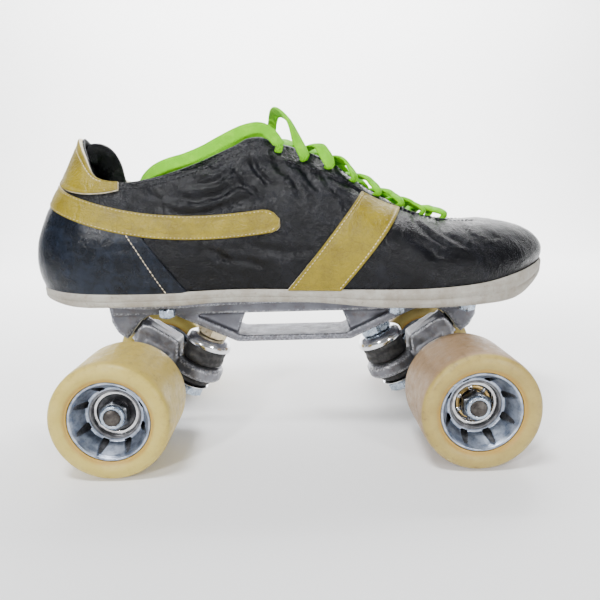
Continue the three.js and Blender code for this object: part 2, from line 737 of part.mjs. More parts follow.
const TAB_END_X = -87;
const TAB_RISE = 9; // of its lower edge above the band, at its front corners
const tabRise = (x) => 0.8 + TAB_RISE * Math.max(0, (x + 130) / 43) ** 2.2;

function heelTab() {
  const end = solve((s) => skin(s, 0.97).x - TAB_END_X, 1.5, 4);
  const sections = even(17, -end, end).map((s) => {
    const low = levelAt(s, (x) => bandMiddle(x) + BAND_HALF + tabRise(x));
    return shellSection(even(5, low, 0.985).map((t) => [s, t]), OVERLAY_GAP, OVERLAY_GAP + OVERLAY);
  });
  return loft(sections);
}

const STRAP_FOOT_X = -3;
const STRAP_WIDTH = 27;
const STRAP_SLANT = 0.8;
const STRAP_TOP_T = 0.79;

function saddleStrap(side) {
  const edge = (start) => (z) => start + (z - SOLE_BOTTOM - 6) * STRAP_SLANT;
  const sections = even(11, 0.01, STRAP_TOP_T).map((t) => {
    const at = (line) => solve((s) => { const p = skin(s, t); return p.x - line(p.z); }, 3, 11);
    const from = at(edge(STRAP_FOOT_X));
    const to = at(edge(STRAP_FOOT_X + STRAP_WIDTH));
    const places = even(5, from, to).map((s) => [side * s, t]);
    return shellSection(places, OVERLAY_GAP, OVERLAY_GAP + OVERLAY);
  });
  return loft(sections);
}

// ---- sole, insole and bolts -------------------------------------------------------
// Half width of the sole's edge line at x, on the outer (-1) or inner (1) side.
function edgeAt(x, side) {
  const s = solve((column) => ringPoint(column, 0).x - x, 0, SPAN);
  return ringPoint(side < 0 ? s : -s, 0);
}

const TOE_SPRING_FROM = 112;
const TOE_SPRING = 11;
const HEEL_SPRING_FROM = -104; // behind the plate
const HEEL_SPRING = 3.4;
const soleBottom = (x) =>
  SOLE_BOTTOM +
  TOE_SPRING * Math.max(0, (x - TOE_SPRING_FROM) / 32) ** 1.7 +
  HEEL_SPRING * Math.max(0, (HEEL_SPRING_FROM - x) / 34) ** 1.6;

// A slab that follows the sole's outline, grown by margin, between two height functions.
function footbed(margin, bottom, top, count) {
  const heel = COLUMNS[0][0][0] + 0.4;
  const toe = COLUMNS[SPAN][0][0] - 0.4;
  const middle = (heel + toe) / 2;
  const sections = even(count, 0, Math.PI).map((angle) => {
    const x = middle - ((toe - heel) / 2) * Math.cos(angle);
    const grown = x - margin * Math.cos(angle);
    const right = edgeAt(x, -1);
    const left = edgeAt(x, 1);
    const grow = margin * Math.sin(angle) ** 0.5;
    const from = right.y - grow;
    const to = left.y + grow;
    const inset = Math.min(1.2, (to - from) / 6);
    const low = bottom(grown);
    const high = top(right.z);
    return [
      [from + inset, low],
      [from, low + 1.2],
      [from, high],
      [to, high],
      [to, low + 1.2],
      [to - inset, low],
    ].map(([y, z]) => new THREE.Vector3(grown, y, z));
  });
  return loft(sections);
}

function outsole() {
  const body = footbed(SOLE_MARGIN, soleBottom, (edge) => edge - GAP, 23);
  return geometryOf(cut(solid(body), boltHoles(SOLE_BOTTOM - 5, SOLE_BOTTOM + 20)));
}

const insoleBase = (edge) => edge;
const INSOLE_MARGIN = -LEATHER - 0.9;

function insole() {
  const heel = COLUMNS[0][0][0];
  const height = (x) => edgeAt(Math.min(Math.max(x, heel + 1), 140), -1).z;
  const body = footbed(INSOLE_MARGIN, (x) => insoleBase(height(x)) + 0.1, (z) => z + INSOLE_THICKNESS, 17);
  return geometryOf(cut(solid(body), boltHoles(SOLE_BOTTOM - 5, SOLE_BOTTOM + 25)));
}

function plateBolt(x, y) {
  const headBase = edgeAt(x + BOLT_HEAD_R, y).z + INSOLE_THICKNESS + 2 * GAP;
  const nutTop = SOLE_BOTTOM - FLANGE_THICKNESS - 2 * GAP;
  const nutBase = nutTop - BOLT_NUT_HEIGHT;
  const shank = rod(BOLT_R, nutBase - BOLT_STICKOUT, headBase + 0.4, 8);
  const head = rod(BOLT_HEAD_R, headBase, headBase + BOLT_HEAD_HEIGHT, 10);
  const nut = hexagon(BOLT_NUT_FLATS, BOLT_NUT_HEIGHT).translate(0, 0, nutBase);
  return geometryOf(join([shank, head, nut])).translate(x, y, 0);
}

// ---- tongue -----------------------------------------------------------------------
const toplineAt = (x) => {
  const s = solve((column) => ringPoint(column, 3).x - x, 6, SPAN);
  return ringPoint(s, 3);
};

const TONGUE_DROP = 4.4; // its middle below the eyestay's edges
const TONGUE_FALL = 4.6; // its own edges below its middle
const COLLAR_FRONT_X = -17.5;
const TONGUE_HEEL_X = -22;
const TONGUE_SEAM_X = 103; // stitched under the vamp from here

// Height of the tongue's middle at x: under the lacing, then up to the vamp at its seam.
function tongueHeight(x) {
  if (x <= COLLAR_FRONT_X) return toplineAt(COLLAR_FRONT_X).z + (COLLAR_FRONT_X - x) - TONGUE_DROP;
  if (x < 84) return toplineAt(x).z - TONGUE_DROP;
  const t = solve((level) => x - skin(SPAN, level).x, 0.4, 1);
  const lining = offset(SPAN, t, -LEATHER - GAP - 0.1).z;
  return lining - (x < TONGUE_SEAM_X - 8 ? 2.8 : 0);
}

function tongue() {
  const stations = [...even(11, TONGUE_HEEL_X, 78), 86, 94, 98, TONGUE_SEAM_X];
  const sections = stations.map((x) => {
    const edge = toplineAt(Math.min(Math.max(x, COLLAR_FRONT_X), 80));
    const half = Math.abs(edge.y - lean(edge.x)) + (x < COLLAR_FRONT_X ? -2 : 0.6);
    const top = (y) => tongueHeight(x) - TONGUE_FALL * Math.abs(y / half) ** 2.4;
    const ys = even(7, -half, half);
    const over = ys.map((y) => new THREE.Vector3(x, y + lean(x), top(y)));
    const below = ys.map((y) => new THREE.Vector3(x, y + lean(x), top(y) - TONGUE_THICKNESS));
    return [...over, ...below.reverse()];
  });
  return loft(sections);
}

// ---- laces ------------------------------------------------------------------------
function eyelets() {
  const made = [];
  for (const side of [1, -1]) {
    for (const x of even(EYELETS, EYELET_FIRST_X, EYELET_LAST_X)) {
      const s = side * solve((column) => skin(column, EYELET_T).x - x, 6.2, SPAN - 0.05);
      made.push({ s, point: skin(s, EYELET_T), normal: skinNormal(s, EYELET_T) });
    }
  }
  return made;
}

// A ribbon through points; each station has a width direction and a half size.
function ribbon(stations) {
  const sections = stations.map(({ at, wide, thick, width, height }) => {
    const w = wide.clone().multiplyScalar(width / 2);
    const h = thick.clone().multiplyScalar(height / 2);
    return [[-1, -1], [1, -1], [1, 1], [-1, 1]].map(([i, j]) =>
      at.clone().addScaledVector(w, i).addScaledVector(h, j));
  });
  return loft(sections);
}

// Stations along a smooth route whose flat side faces the given normals.
function laceRun(points, normals, count, width, height) {
  const route = new THREE.CatmullRomCurve3(points);
  const facing = new THREE.CatmullRomCurve3(normals);
  return even(count, 0, 1).map((t) => {
    const along = route.getTangent(t);
    const thick = facing.getPoint(t);
    thick.addScaledVector(along, -thick.dot(along)).normalize();
    const wide = new THREE.Vector3().crossVectors(along, thick);
    return { at: route.getPoint(t), wide, thick, width, height };
  });
}

const OUTSIDE = LACE_THICKNESS / 2 + LACE_CLEARANCE;
const INSIDE = -LEATHER - LACE_CLEARANCE - LACE_THICKNESS / 2;
const ARCH_LEAN = new THREE.Vector3(-0.25, 0, 0.97);

// The short neck that passes through an eyelet.
function laceNeck({ s, point, normal }) {
  const along = skin(s + 0.05, EYELET_T).sub(skin(s - 0.05, EYELET_T)).normalize();
  const thick = new THREE.Vector3().crossVectors(normal, along);
  const stations = [INSIDE - 0.5, OUTSIDE + 0.5].map((out) => ({
    at: point.clone().addScaledVector(normal, out),
    wide: along,
    thick,
    width: LACE_NECK[0],
    height: LACE_NECK[1],
  }));
  return ribbon(stations);
}

// From the top of one eyelet over the gap, under the other edge to the next eyelet.
function laceCrossing(from, to, arch) {
  const up = new THREE.Vector3(0.45, 0, 0.9).normalize();
  const edgeFrom = offset(from.s, 1, OUTSIDE + 0.5);
  const underEdge = offset(to.s, 0.99, INSIDE);
  const middle = edgeFrom.clone().lerp(underEdge, 0.45).addScaledVector(ARCH_LEAN, arch);
  const points = [
    from.point.clone().addScaledVector(from.normal, OUTSIDE),
    offset(from.s, 0.955, OUTSIDE + 0.2).addScaledVector(ARCH_LEAN, arch * 0.15),
    edgeFrom.addScaledVector(ARCH_LEAN, arch * 0.6),
    middle,
    underEdge,
    to.point.clone().addScaledVector(to.normal, INSIDE),
  ];
  const normals = [from.normal, from.normal, up, up, to.normal, to.normal];
  return ribbon(laceRun(points, normals, 8, LACE_WIDTH, LACE_THICKNESS));
}

function threadedLace() {
  const holes = eyelets();
  const rows = [holes.slice(0, EYELETS), holes.slice(EYELETS)];
  const pieces = holes.map(laceNeck);
  for (let i = EYELETS - 1; i > 0; i--) {
    pieces.push(laceCrossing(rows[0][i], rows[1][i - 1], i === 1 ? LACE_ARCH : 0));
    pieces.push(laceCrossing(rows[1][i], rows[0][i - 1], 0));
  }
  const [a, b] = [rows[0][EYELETS - 1], rows[1][EYELETS - 1]];
  const foot = [a.point.clone(), skin(SPAN, 0.965), b.point.clone()];
  const footNormals = [a.normal, skinNormal(SPAN, 0.965), b.normal];
  const points = foot.map((point, i) => point.addScaledVector(footNormals[i], INSIDE - 0.3));
  pieces.push(ribbon(laceRun(points, footNormals, 5, LACE_WIDTH - 1, LACE_THICKNESS)));
  return geometryOf(join(pieces));
}

// The free tail leaves the top eyelet, lies back along the collar and goes into the shoe.
const TAIL_ROUTE = [
  [-9.5, 20.5, 84.5],
  [-15, 20.2, 87.6],
  [-23, 21.2, 86.2],
  [-33, 23.6, 81.5],
  [-43, 25.2, 76.4],
  [-53, 25.6, 72.6],
  [-62, 23.6, 70.4],
  [-70, 20.5, 67.3],
  [-77, 14.5, 63.5],
  [-82, 8.5, 58],
  [-83, 3.5, 51],
];

function laceTail(side) {
  const hole = eyelets()[side < 0 ? 0 : EYELETS];
  const start = hole.point.clone().addScaledVector(hole.normal, 2 * OUTSIDE + 1.6);
  const route = TAIL_ROUTE.map(([x, y, z]) => new THREE.Vector3(x, side * y, SOLE_BOTTOM + z));
  const normals = [hole.normal, ...route.map((p) => new THREE.Vector3(0, p.y, 9).normalize())];
  const stations = laceRun([start, ...route], normals, 20, TAIL_WIDTH, TAIL_THICKNESS);
  return loft(stations.map(({ at, wide, thick, width, height }) =>
    Array.from({ length: 8 }, (_, i) => {
      const angle = ((i + 0.5) * Math.PI) / 4;
      return at.clone()
        .addScaledVector(wide, (width / 2) * Math.cos(angle))
        .addScaledVector(thick, (height / 2) * Math.sin(angle));
    })));
}

// ---- assembly ---------------------------------------------------------------------
add(model, "plate", plate(), paint.cast);
eachBolt((x, y, side, i) =>
  add(model, "plate_bolt_" + (side < 0 ? "outer_" : "inner_") + (i + 1), plateBolt(x, y), paint.zinc));
for (const [name, turn, end] of [["front", 0, 1], ["rear", Math.PI, -1]]) {
  addTruck(name, turn);
  addWheel(name + "_outer", (end * WHEELBASE) / 2, -1);
  addWheel(name + "_inner", (end * WHEELBASE) / 2, 1);
}
add(model, "upper", upper(), paint.black);
add(model, "heel_counter", heelCounter(), paint.counter);
add(model, "heel_band", heelBand(), paint.gold);
add(model, "heel_tab", heelTab(), paint.gold);
add(model, "saddle_strap_outer", saddleStrap(1), paint.gold);
add(model, "saddle_strap_inner", saddleStrap(-1), paint.gold);
add(model, "outsole", outsole(), paint.sole);
add(model, "insole", insole(), paint.insole);
add(model, "tongue", tongue(), paint.black);
add(model, "lace", threadedLace(), paint.lace);
add(model, "lace_tail_outer", laceTail(-1), paint.lace);
add(model, "lace_tail_inner", laceTail(1), paint.lace);

export default model;
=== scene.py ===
import math

import bmesh
import bpy
import numpy as np
from mathutils import Matrix, Vector, noise


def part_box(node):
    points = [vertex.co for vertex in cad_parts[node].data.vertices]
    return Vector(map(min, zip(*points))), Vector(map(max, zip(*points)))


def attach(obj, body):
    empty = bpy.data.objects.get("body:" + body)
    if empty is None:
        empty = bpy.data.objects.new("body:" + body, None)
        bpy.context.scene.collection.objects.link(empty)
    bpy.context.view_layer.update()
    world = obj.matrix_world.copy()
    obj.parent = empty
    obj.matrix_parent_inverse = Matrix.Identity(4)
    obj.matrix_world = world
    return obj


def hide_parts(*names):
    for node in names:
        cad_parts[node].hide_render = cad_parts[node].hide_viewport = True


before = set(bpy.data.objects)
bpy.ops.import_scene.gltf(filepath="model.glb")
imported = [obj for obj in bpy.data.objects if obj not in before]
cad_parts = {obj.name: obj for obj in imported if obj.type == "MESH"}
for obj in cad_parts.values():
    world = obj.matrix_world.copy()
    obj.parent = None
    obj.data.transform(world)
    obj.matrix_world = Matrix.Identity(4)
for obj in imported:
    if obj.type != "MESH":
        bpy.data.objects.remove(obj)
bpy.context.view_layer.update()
MM = 0.001
ENDS = {"front": 1, "rear": -1}
SIDES = {"outer": -1, "inner": 1}
AXLE_X, WHEEL_Y, WHEEL_R = 86.0, 55.0, 28.5

# ---- camera -----------------------------------------------------------------------
CAMERA_AT = (1.376, -308.394, 130.734)
PITCH, YAW, ROLL = math.radians(11.361), math.radians(0.432), math.radians(-1.324)
SENSOR, LENS = 36, 32.62


def make_camera():
    forward = Vector((math.sin(YAW) * math.cos(PITCH), math.cos(YAW) * math.cos(PITCH), -math.sin(PITCH)))
    right = Vector((math.cos(YAW), -math.sin(YAW), 0))
    up = right.cross(forward)
    across = math.cos(ROLL) * right + math.sin(ROLL) * up
    upright = -math.sin(ROLL) * right + math.cos(ROLL) * up
    camera = bpy.data.objects.new("camera", bpy.data.cameras.new("camera"))
    bpy.context.scene.collection.objects.link(camera)
    place = Matrix((across, upright, -forward)).transposed().to_4x4()
    place.translation = Vector(CAMERA_AT) * MM
    camera.matrix_world = place
    camera.data.sensor_width = SENSOR
    camera.data.lens = LENS
    camera.data.clip_start = 0.01
    bpy.context.scene.camera = camera


make_camera()


# ---- meshes -----------------------------------------------------------------------
def smooth(x):
    """Eases from 0 to 1, and stays there on both sides."""
    x = np.clip(x, 0, 1)
    return x * x * (3 - 2 * x)


def link(name, mesh, body, *stands_for, slot, material=None, matrix=None):
    """Puts a mesh on its body, in place of the CAD solids it stands for."""
    piece = bpy.data.objects.new(name, mesh)
    bpy.context.scene.collection.objects.link(piece)
    if material:
        mesh.materials.clear()
        mesh.materials.append(material)
    if matrix:
        piece.matrix_world = matrix
    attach(piece, body)
    if stands_for:
        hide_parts(*stands_for)
    return piece


def mesh_of(name, points, faces):
    """A smooth shaded mesh from points in millimetres."""
    mesh = bpy.data.meshes.new(name)
    metres = np.asarray(points, float) * MM
    mesh.from_pydata([tuple(p) for p in metres], [], [tuple(f) for f in faces])
    mesh.validate()
    work = bmesh.new()
    work.from_mesh(mesh)
    bmesh.ops.remove_doubles(work, verts=work.verts, dist=1e-7)
    bmesh.ops.recalc_face_normals(work, faces=work.faces)
    work.to_mesh(mesh)
    work.free()
    mesh.polygons.foreach_set("use_smooth", [True] * len(mesh.polygons))
    return mesh


def sharpen(mesh, degrees=35):
    mesh.set_sharp_from_angle(angle=math.radians(degrees))
    return mesh


def quads(rows, columns, closed_rows=False, closed_columns=False):
    """Faces over a grid of points numbered row by row."""
    faces = []
    for i in range(rows if closed_rows else rows - 1):
        for j in range(columns if closed_columns else columns - 1):
            a, b = i, (i + 1) % rows
            c, d = j, (j + 1) % columns
            faces.append((a * columns + c, a * columns + d, b * columns + d, b * columns + c))
    return faces


def closed_sheet(rows, columns):
    """Faces of a thin slab: a grid, the rim round it, and the same grid below with the next numbers."""
    count = rows * columns
    faces = quads(rows, columns)
    rim = [*range(columns)] + [k * columns + columns - 1 for k in range(1, rows)]
    rim += [(rows - 1) * columns + k for k in range(columns - 2, -1, -1)]
    rim += [k * columns for k in range(rows - 2, 0, -1)]
    sides = [(a, b, count + b, count + a) for a, b in zip(rim, rim[1:] + rim[:1])]
    return faces, sides, [tuple(count + v for v in reversed(f)) for f in faces]


class Pile:
    """Collects parts of one mesh, in millimetres."""

    def __init__(self):
        self.points, self.faces, self.count = [], [], 0

    def add(self, points, faces):
        points = np.asarray(points, float).reshape(-1, 3)
        self.points.append(points)
        self.faces += [tuple(self.count + i for i in f) for f in faces]
        self.count += len(points)

    def mesh(self, name):
        return mesh_of(name, np.concatenate(self.points), self.faces)


def lathe(profile, segments=96, closed=True):
    """A closed ring about Z from (radius, height) points; a radius of 0 closes on the axis."""
    profile = np.asarray(profile, float)
    angles = np.arange(segments) * 2 * math.pi / segments
    ring = np.stack([np.cos(angles), np.sin(angles)], 1)
    levels = np.repeat(profile[:, None, 1:], segments, 1)
    points = np.concatenate([profile[:, None, :1] * ring[None], levels], 2)
    return points.reshape(-1, 3), quads(len(profile), segments, closed, True)


def fillet(corners, radius, steps=4):
    """Rounds each corner of a closed (radius, height) outline that isn't on the axis."""
    corners = [np.asarray(c, float) for c in corners]
    count, made = len(corners), []
    for i, here in enumerate(corners):
        if here[0] < 1e-6:
            made.append(here)
            continue
        before, after = corners[i - 1] - here, corners[(i + 1) % count] - here
        cut = min(radius, 0.45 * np.linalg.norm(before), 0.45 * np.linalg.norm(after))
        start = here + before / np.linalg.norm(before) * cut
        end = here + after / np.linalg.norm(after) * cut
        for t in np.linspace(0, 1, steps + 1):
            made.append((1 - t) ** 2 * start + 2 * t * (1 - t) * here + t * t * end)
    return made


def frame_at(points, along, origin):
    """Turns points from about Z to about the unit vector along, and moves them to origin."""
    turn = Vector((0, 0, 1)).rotation_difference(Vector(along))
    matrix = np.array(turn.to_matrix())
    return np.asarray(points, float) @ matrix.T + np.asarray(origin, float)


def hexagon(flats, height, bore, crown=0.9, steps=60):
    """A nut about Z: flat sides whose corners are turned down at both faces."""
    angles = np.arange(steps) * 2 * math.pi / steps
    side = (flats / 2) / np.cos((angles + math.pi / 6) % (math.pi / 3) - math.pi / 6)
    rows = []
    low, high = flats / 2 - 0.4, flats / math.sqrt(3)
    for level, limit in ((0, low), (crown * 0.25, low + 0.35), (crown, high), (height - crown, high),
                         (height - crown * 0.25, low + 0.35), (height, low)):
        r = np.minimum(side, limit)
        rows.append(np.stack([r * np.cos(angles), r * np.sin(angles), np.full(steps, level)], 1))
    for r, level in ((bore + 0.6, height), (bore, height - 0.6), (bore, 0.6), (bore + 0.6, 0)):
        rows.append(np.stack([r * np.cos(angles), r * np.sin(angles), np.full(steps, level)], 1))
    return np.concatenate(rows), quads(len(rows), steps, True, True)


def tube(line, normals, widths, heights, around=12, flatness=2.6, cup=0.0):
    """A closed ribbon along line: a rounded flat section, width along line x normal."""
    line = np.asarray(line, float)
    along = np.gradient(line, axis=0)
    along /= np.linalg.norm(along, axis=1)[:, None]
    up = np.asarray(normals, float)
    up = up - (up * along).sum(1)[:, None] * along
    up /= np.linalg.norm(up, axis=1)[:, None]
    wide = np.cross(along, up)
    angles = np.arange(around) * 2 * math.pi / around
    c, s = np.cos(angles), np.sin(angles)
    x = np.sign(c) * np.abs(c) ** (2 / flatness)
    y = np.sign(s) * np.abs(s) ** (2 / flatness)
    widths = np.broadcast_to(widths, len(line)).copy()
    heights = np.broadcast_to(heights, len(line)).copy()
    rows = (line[:, None] + wide[:, None] * (x * 0.5)[None, :, None] * widths[:, None, None]
            + up[:, None] * ((y * 0.5)[None] * heights[:, None] - cup * (x ** 2)[None])[:, :, None])
    last = (len(line) - 1) * around
    faces = quads(len(line), around, False, True)
    faces += [tuple(range(around)), tuple(range(last + around - 1, last - 1, -1))]
    return rows.reshape(-1, 3), faces


def spline(points, count):
    """Evenly spaced points on a Catmull-Rom curve."""
    p = np.asarray(points, float)
    p = np.concatenate([[2 * p[0] - p[1]], p, [2 * p[-1] - p[-2]]])
    fine = []
    for i in range(1, len(p) - 2):
        t = np.linspace(0, 1, 24, endpoint=i == len(p) - 3)[:, None]
        a, b, c, d = p[i - 1:i + 3]
        fine.append(0.5 * (2 * b + (c - a) * t + (2 * a - 5 * b + 4 * c - d) * t ** 2
                           + (3 * b - a - 3 * c + d) * t ** 3))
    fine = np.concatenate(fine)
    run = np.concatenate([[0], np.cumsum(np.linalg.norm(np.diff(fine[:, :3], axis=0), axis=1))])
    at = np.linspace(0, run[-1], count)
    return np.stack([np.interp(at, run, fine[:, k]) for k in range(fine.shape[1])], 1)


# ---- shoe surface -----------------------------------------------------------------
# Columns of the upper from the heel to the toe, each from the sole's edge to the topline:
# edge, low control, high control and topline, as x, |y|, z in millimetres.
COLUMNS = np.array([
    [[-136, 0, 83.4], [-146, 0, 109], [-124, 0, 131], [-112, 0, 161.5]],
    [[-129, 21, 82.6], [-138, 25, 108], [-118, 22, 129], [-106, 14, 151]],
    [[-108, 31, 80.8], [-114, 37, 106], [-103, 30, 127], [-98, 22, 139]],
    [[-72, 32, 80], [-74, 38, 106], [-77, 31, 124], [-80, 26, 137.5]],
    [[-30, 32, 81], [-38, 38, 108], [-50, 32, 128], [-56, 25, 143]],
    [[-5, 35, 81], [-10, 42, 109], [-24, 33, 136], [-31, 23.5, 153]],
    [[15, 38, 81], [8, 45, 108], [-8, 34, 137], [-18, 21, 158]],
    [[32, 41, 81], [27, 48, 106], [12, 35, 133], [-4, 18.5, 154.5]],
    [[50, 44, 81], [45, 51, 104], [32, 36, 126], [17, 17, 147]],
    [[72, 46, 81.5], [68, 52, 101], [54, 35, 118], [38, 15.5, 132]],
    [[98, 41, 83], [98, 46, 99], [82, 30, 114], [60, 13.5, 119]],
    [[124, 26, 87], [127, 30, 99], [112, 21, 115], [82, 9, 113]],
    [[141, 0, 90], [148.5, 0, 103], [125, 0, 117.5], [88, 0, 112.5]],
], float)
SPAN = len(COLUMNS) - 1
LEATHER = 2.2


def lean(x):
    """How far the toe bends to the inner side."""
    return 5 * np.maximum(0, (np.asarray(x, float) - 30) / 112) ** 2


def controls(i):
    """The four control points of each column number in i; past an end they mirror."""
    column = np.mod(i, 2 * SPAN)
    mirrored = column > SPAN
    p = COLUMNS[np.where(mirrored, 2 * SPAN - column, column)].copy()
    p[..., 1] = np.where(mirrored, 1, -1)[..., None] * p[..., 1] + lean(p[..., 0])
    return p


def ring_points(s):
    """The four control points at any column number, on a smooth curve through the columns."""
    i = np.floor(s).astype(int)
    t = (s - i)[..., None, None]
    a, b, c, d = (controls(i + step) for step in (-1, 0, 1, 2))
    v0, v1 = (c - a) / 2, (d - b) / 2
    return (2 * b - 2 * c + v0 + v1) * t ** 3 + (-3 * b + 3 * c - 2 * v0 - v1) * t ** 2 + v0 * t + b


def skin(s, t):
    """Points of the upper's outer face: s is a column number, t goes from sole to topline."""
    s, t = np.broadcast_arrays(np.asarray(s, float), np.asarray(t, float))
    p, t = ring_points(s), t[..., None]
    u = 1 - t
    low = p[..., 0, :] * u ** 3 + p[..., 1, :] * 3 * u * u * t
    return low + p[..., 2, :] * 3 * u * t * t + p[..., 3, :] * t ** 3


def skin_normal(s, t):
    s, t = np.broadcast_arrays(np.asarray(s, float), np.asarray(t, float))
    ds = skin(s + 0.02, t) - skin(s - 0.02, t)
    dt = skin(s, np.minimum(t + 0.01, 1)) - skin(s, np.maximum(t - 0.01, 0))
    n = np.cross(ds, dt)
    return n / np.linalg.norm(n, axis=-1)[..., None]


def offset(s, t, out):
    """Points off the upper's outer face by the distance out."""
    return skin(s, t) + skin_normal(s, t) * np.asarray(out, float)[..., None]


def solve(f, low, high, steps=30):
    """Where f changes sign between low and high, for arrays or single numbers."""
    low, high = np.array(low, float), np.array(high, float)
    first = np.sign(f(low))
    for _ in range(steps):
        middle = (low + high) / 2
        same = np.sign(f(middle)) == first
        low, high = np.where(same, middle, low), np.where(same, high, middle)
    return (low + high) / 2


def level_at(s, height):
    """The t at which the skin at s meets the height given as a function of x."""
    s = np.asarray(s, float)

    def above(t):
        p = skin(s, t)
        return p[..., 2] - height(p[..., 0])

    return solve(above, np.full(s.shape, 0.005), np.full(s.shape, 0.995))


def s_at(x, t, low=3.0, high=11.95):
    """The outer-side column number at which the skin has this x at level t."""
    x, t = np.broadcast_arrays(np.asarray(x, float), np.asarray(t, float))
    return solve(lambda s: skin(s, t)[..., 0] - x, np.full(x.shape, low), np.full(x.shape, high))


# ---- laces: where they run --------------------------------------------------------
EYELETS = 8
EYELET_T = 0.905
EYELET_X = np.linspace(-6, 80, EYELETS)
OUTSIDE = 1.55  # middle of the lace from the leather's outer face
INSIDE = -LEATHER - 1.55
ARCH = Vector((-0.25, 0, 0.97))
TAIL_ROUTE = np.array([
    [-9.5, 20.5, 159.5], [-15, 20.2, 162.6], [-23, 21.2, 161.2], [-33, 23.6, 156.5], [-43, 25.2, 151.4],
    [-53, 25.6, 147.6], [-62, 23.6, 145.4], [-70, 20.5, 142.3], [-77, 14.5, 138.5], [-82, 8.5, 133],
    [-83, 3.5, 126],
])
TAIL_WIDTH, TAIL_THICKNESS = 6.6, 1.5


def eyelets():
    """The outer and the inner row, each from the top eyelet to the bottom one."""
    rows = []
    for side in (1, -1):
        places = side * s_at(EYELET_X, EYELET_T, 6.2)
        rows.append([{"s": s, "point": skin(s, EYELET_T), "normal": skin_normal(s, EYELET_T)}
                     for s in places])
    return rows


HOLES = eyelets()


def tail_line(side):
    hole = HOLES[0 if side < 0 else 1][0]
    start = hole["point"] + hole["normal"] * (2 * OUTSIDE + 1.6)
    route = TAIL_ROUTE * (1, side, 1)
    normals = np.array([hole["normal"]] + [Vector((0, p[1], 9)).normalized() for p in route])
    both = np.concatenate([np.concatenate([[start], route]), normals], 1)
    made = spline(both, 72)
    return made[:, :3], made[:, 3:]


def lace_tail(name, side):
    line, normals = tail_line(side)
    sag = np.sin(np.linspace(0, math.pi * 5, len(line))) * 0.25
    normals = normals + np.cross(np.gradient(line, axis=0), normals) * sag[:, None] * 0.25
    ends = np.clip(np.minimum(np.arange(len(line)), np.arange(len(line))[::-1]) / 2.0 + 0.55, 0, 1)
    points, faces = tube(line, normals, TAIL_WIDTH * ends, TAIL_THICKNESS, 16, 3.0)
    piece = link("loose_" + name, mesh_of(name, points, faces), "skate", name, slot="lace_fabric")
    return piece


tails = [lace_tail("lace_tail_" + end, side) for end, side in SIDES.items()]


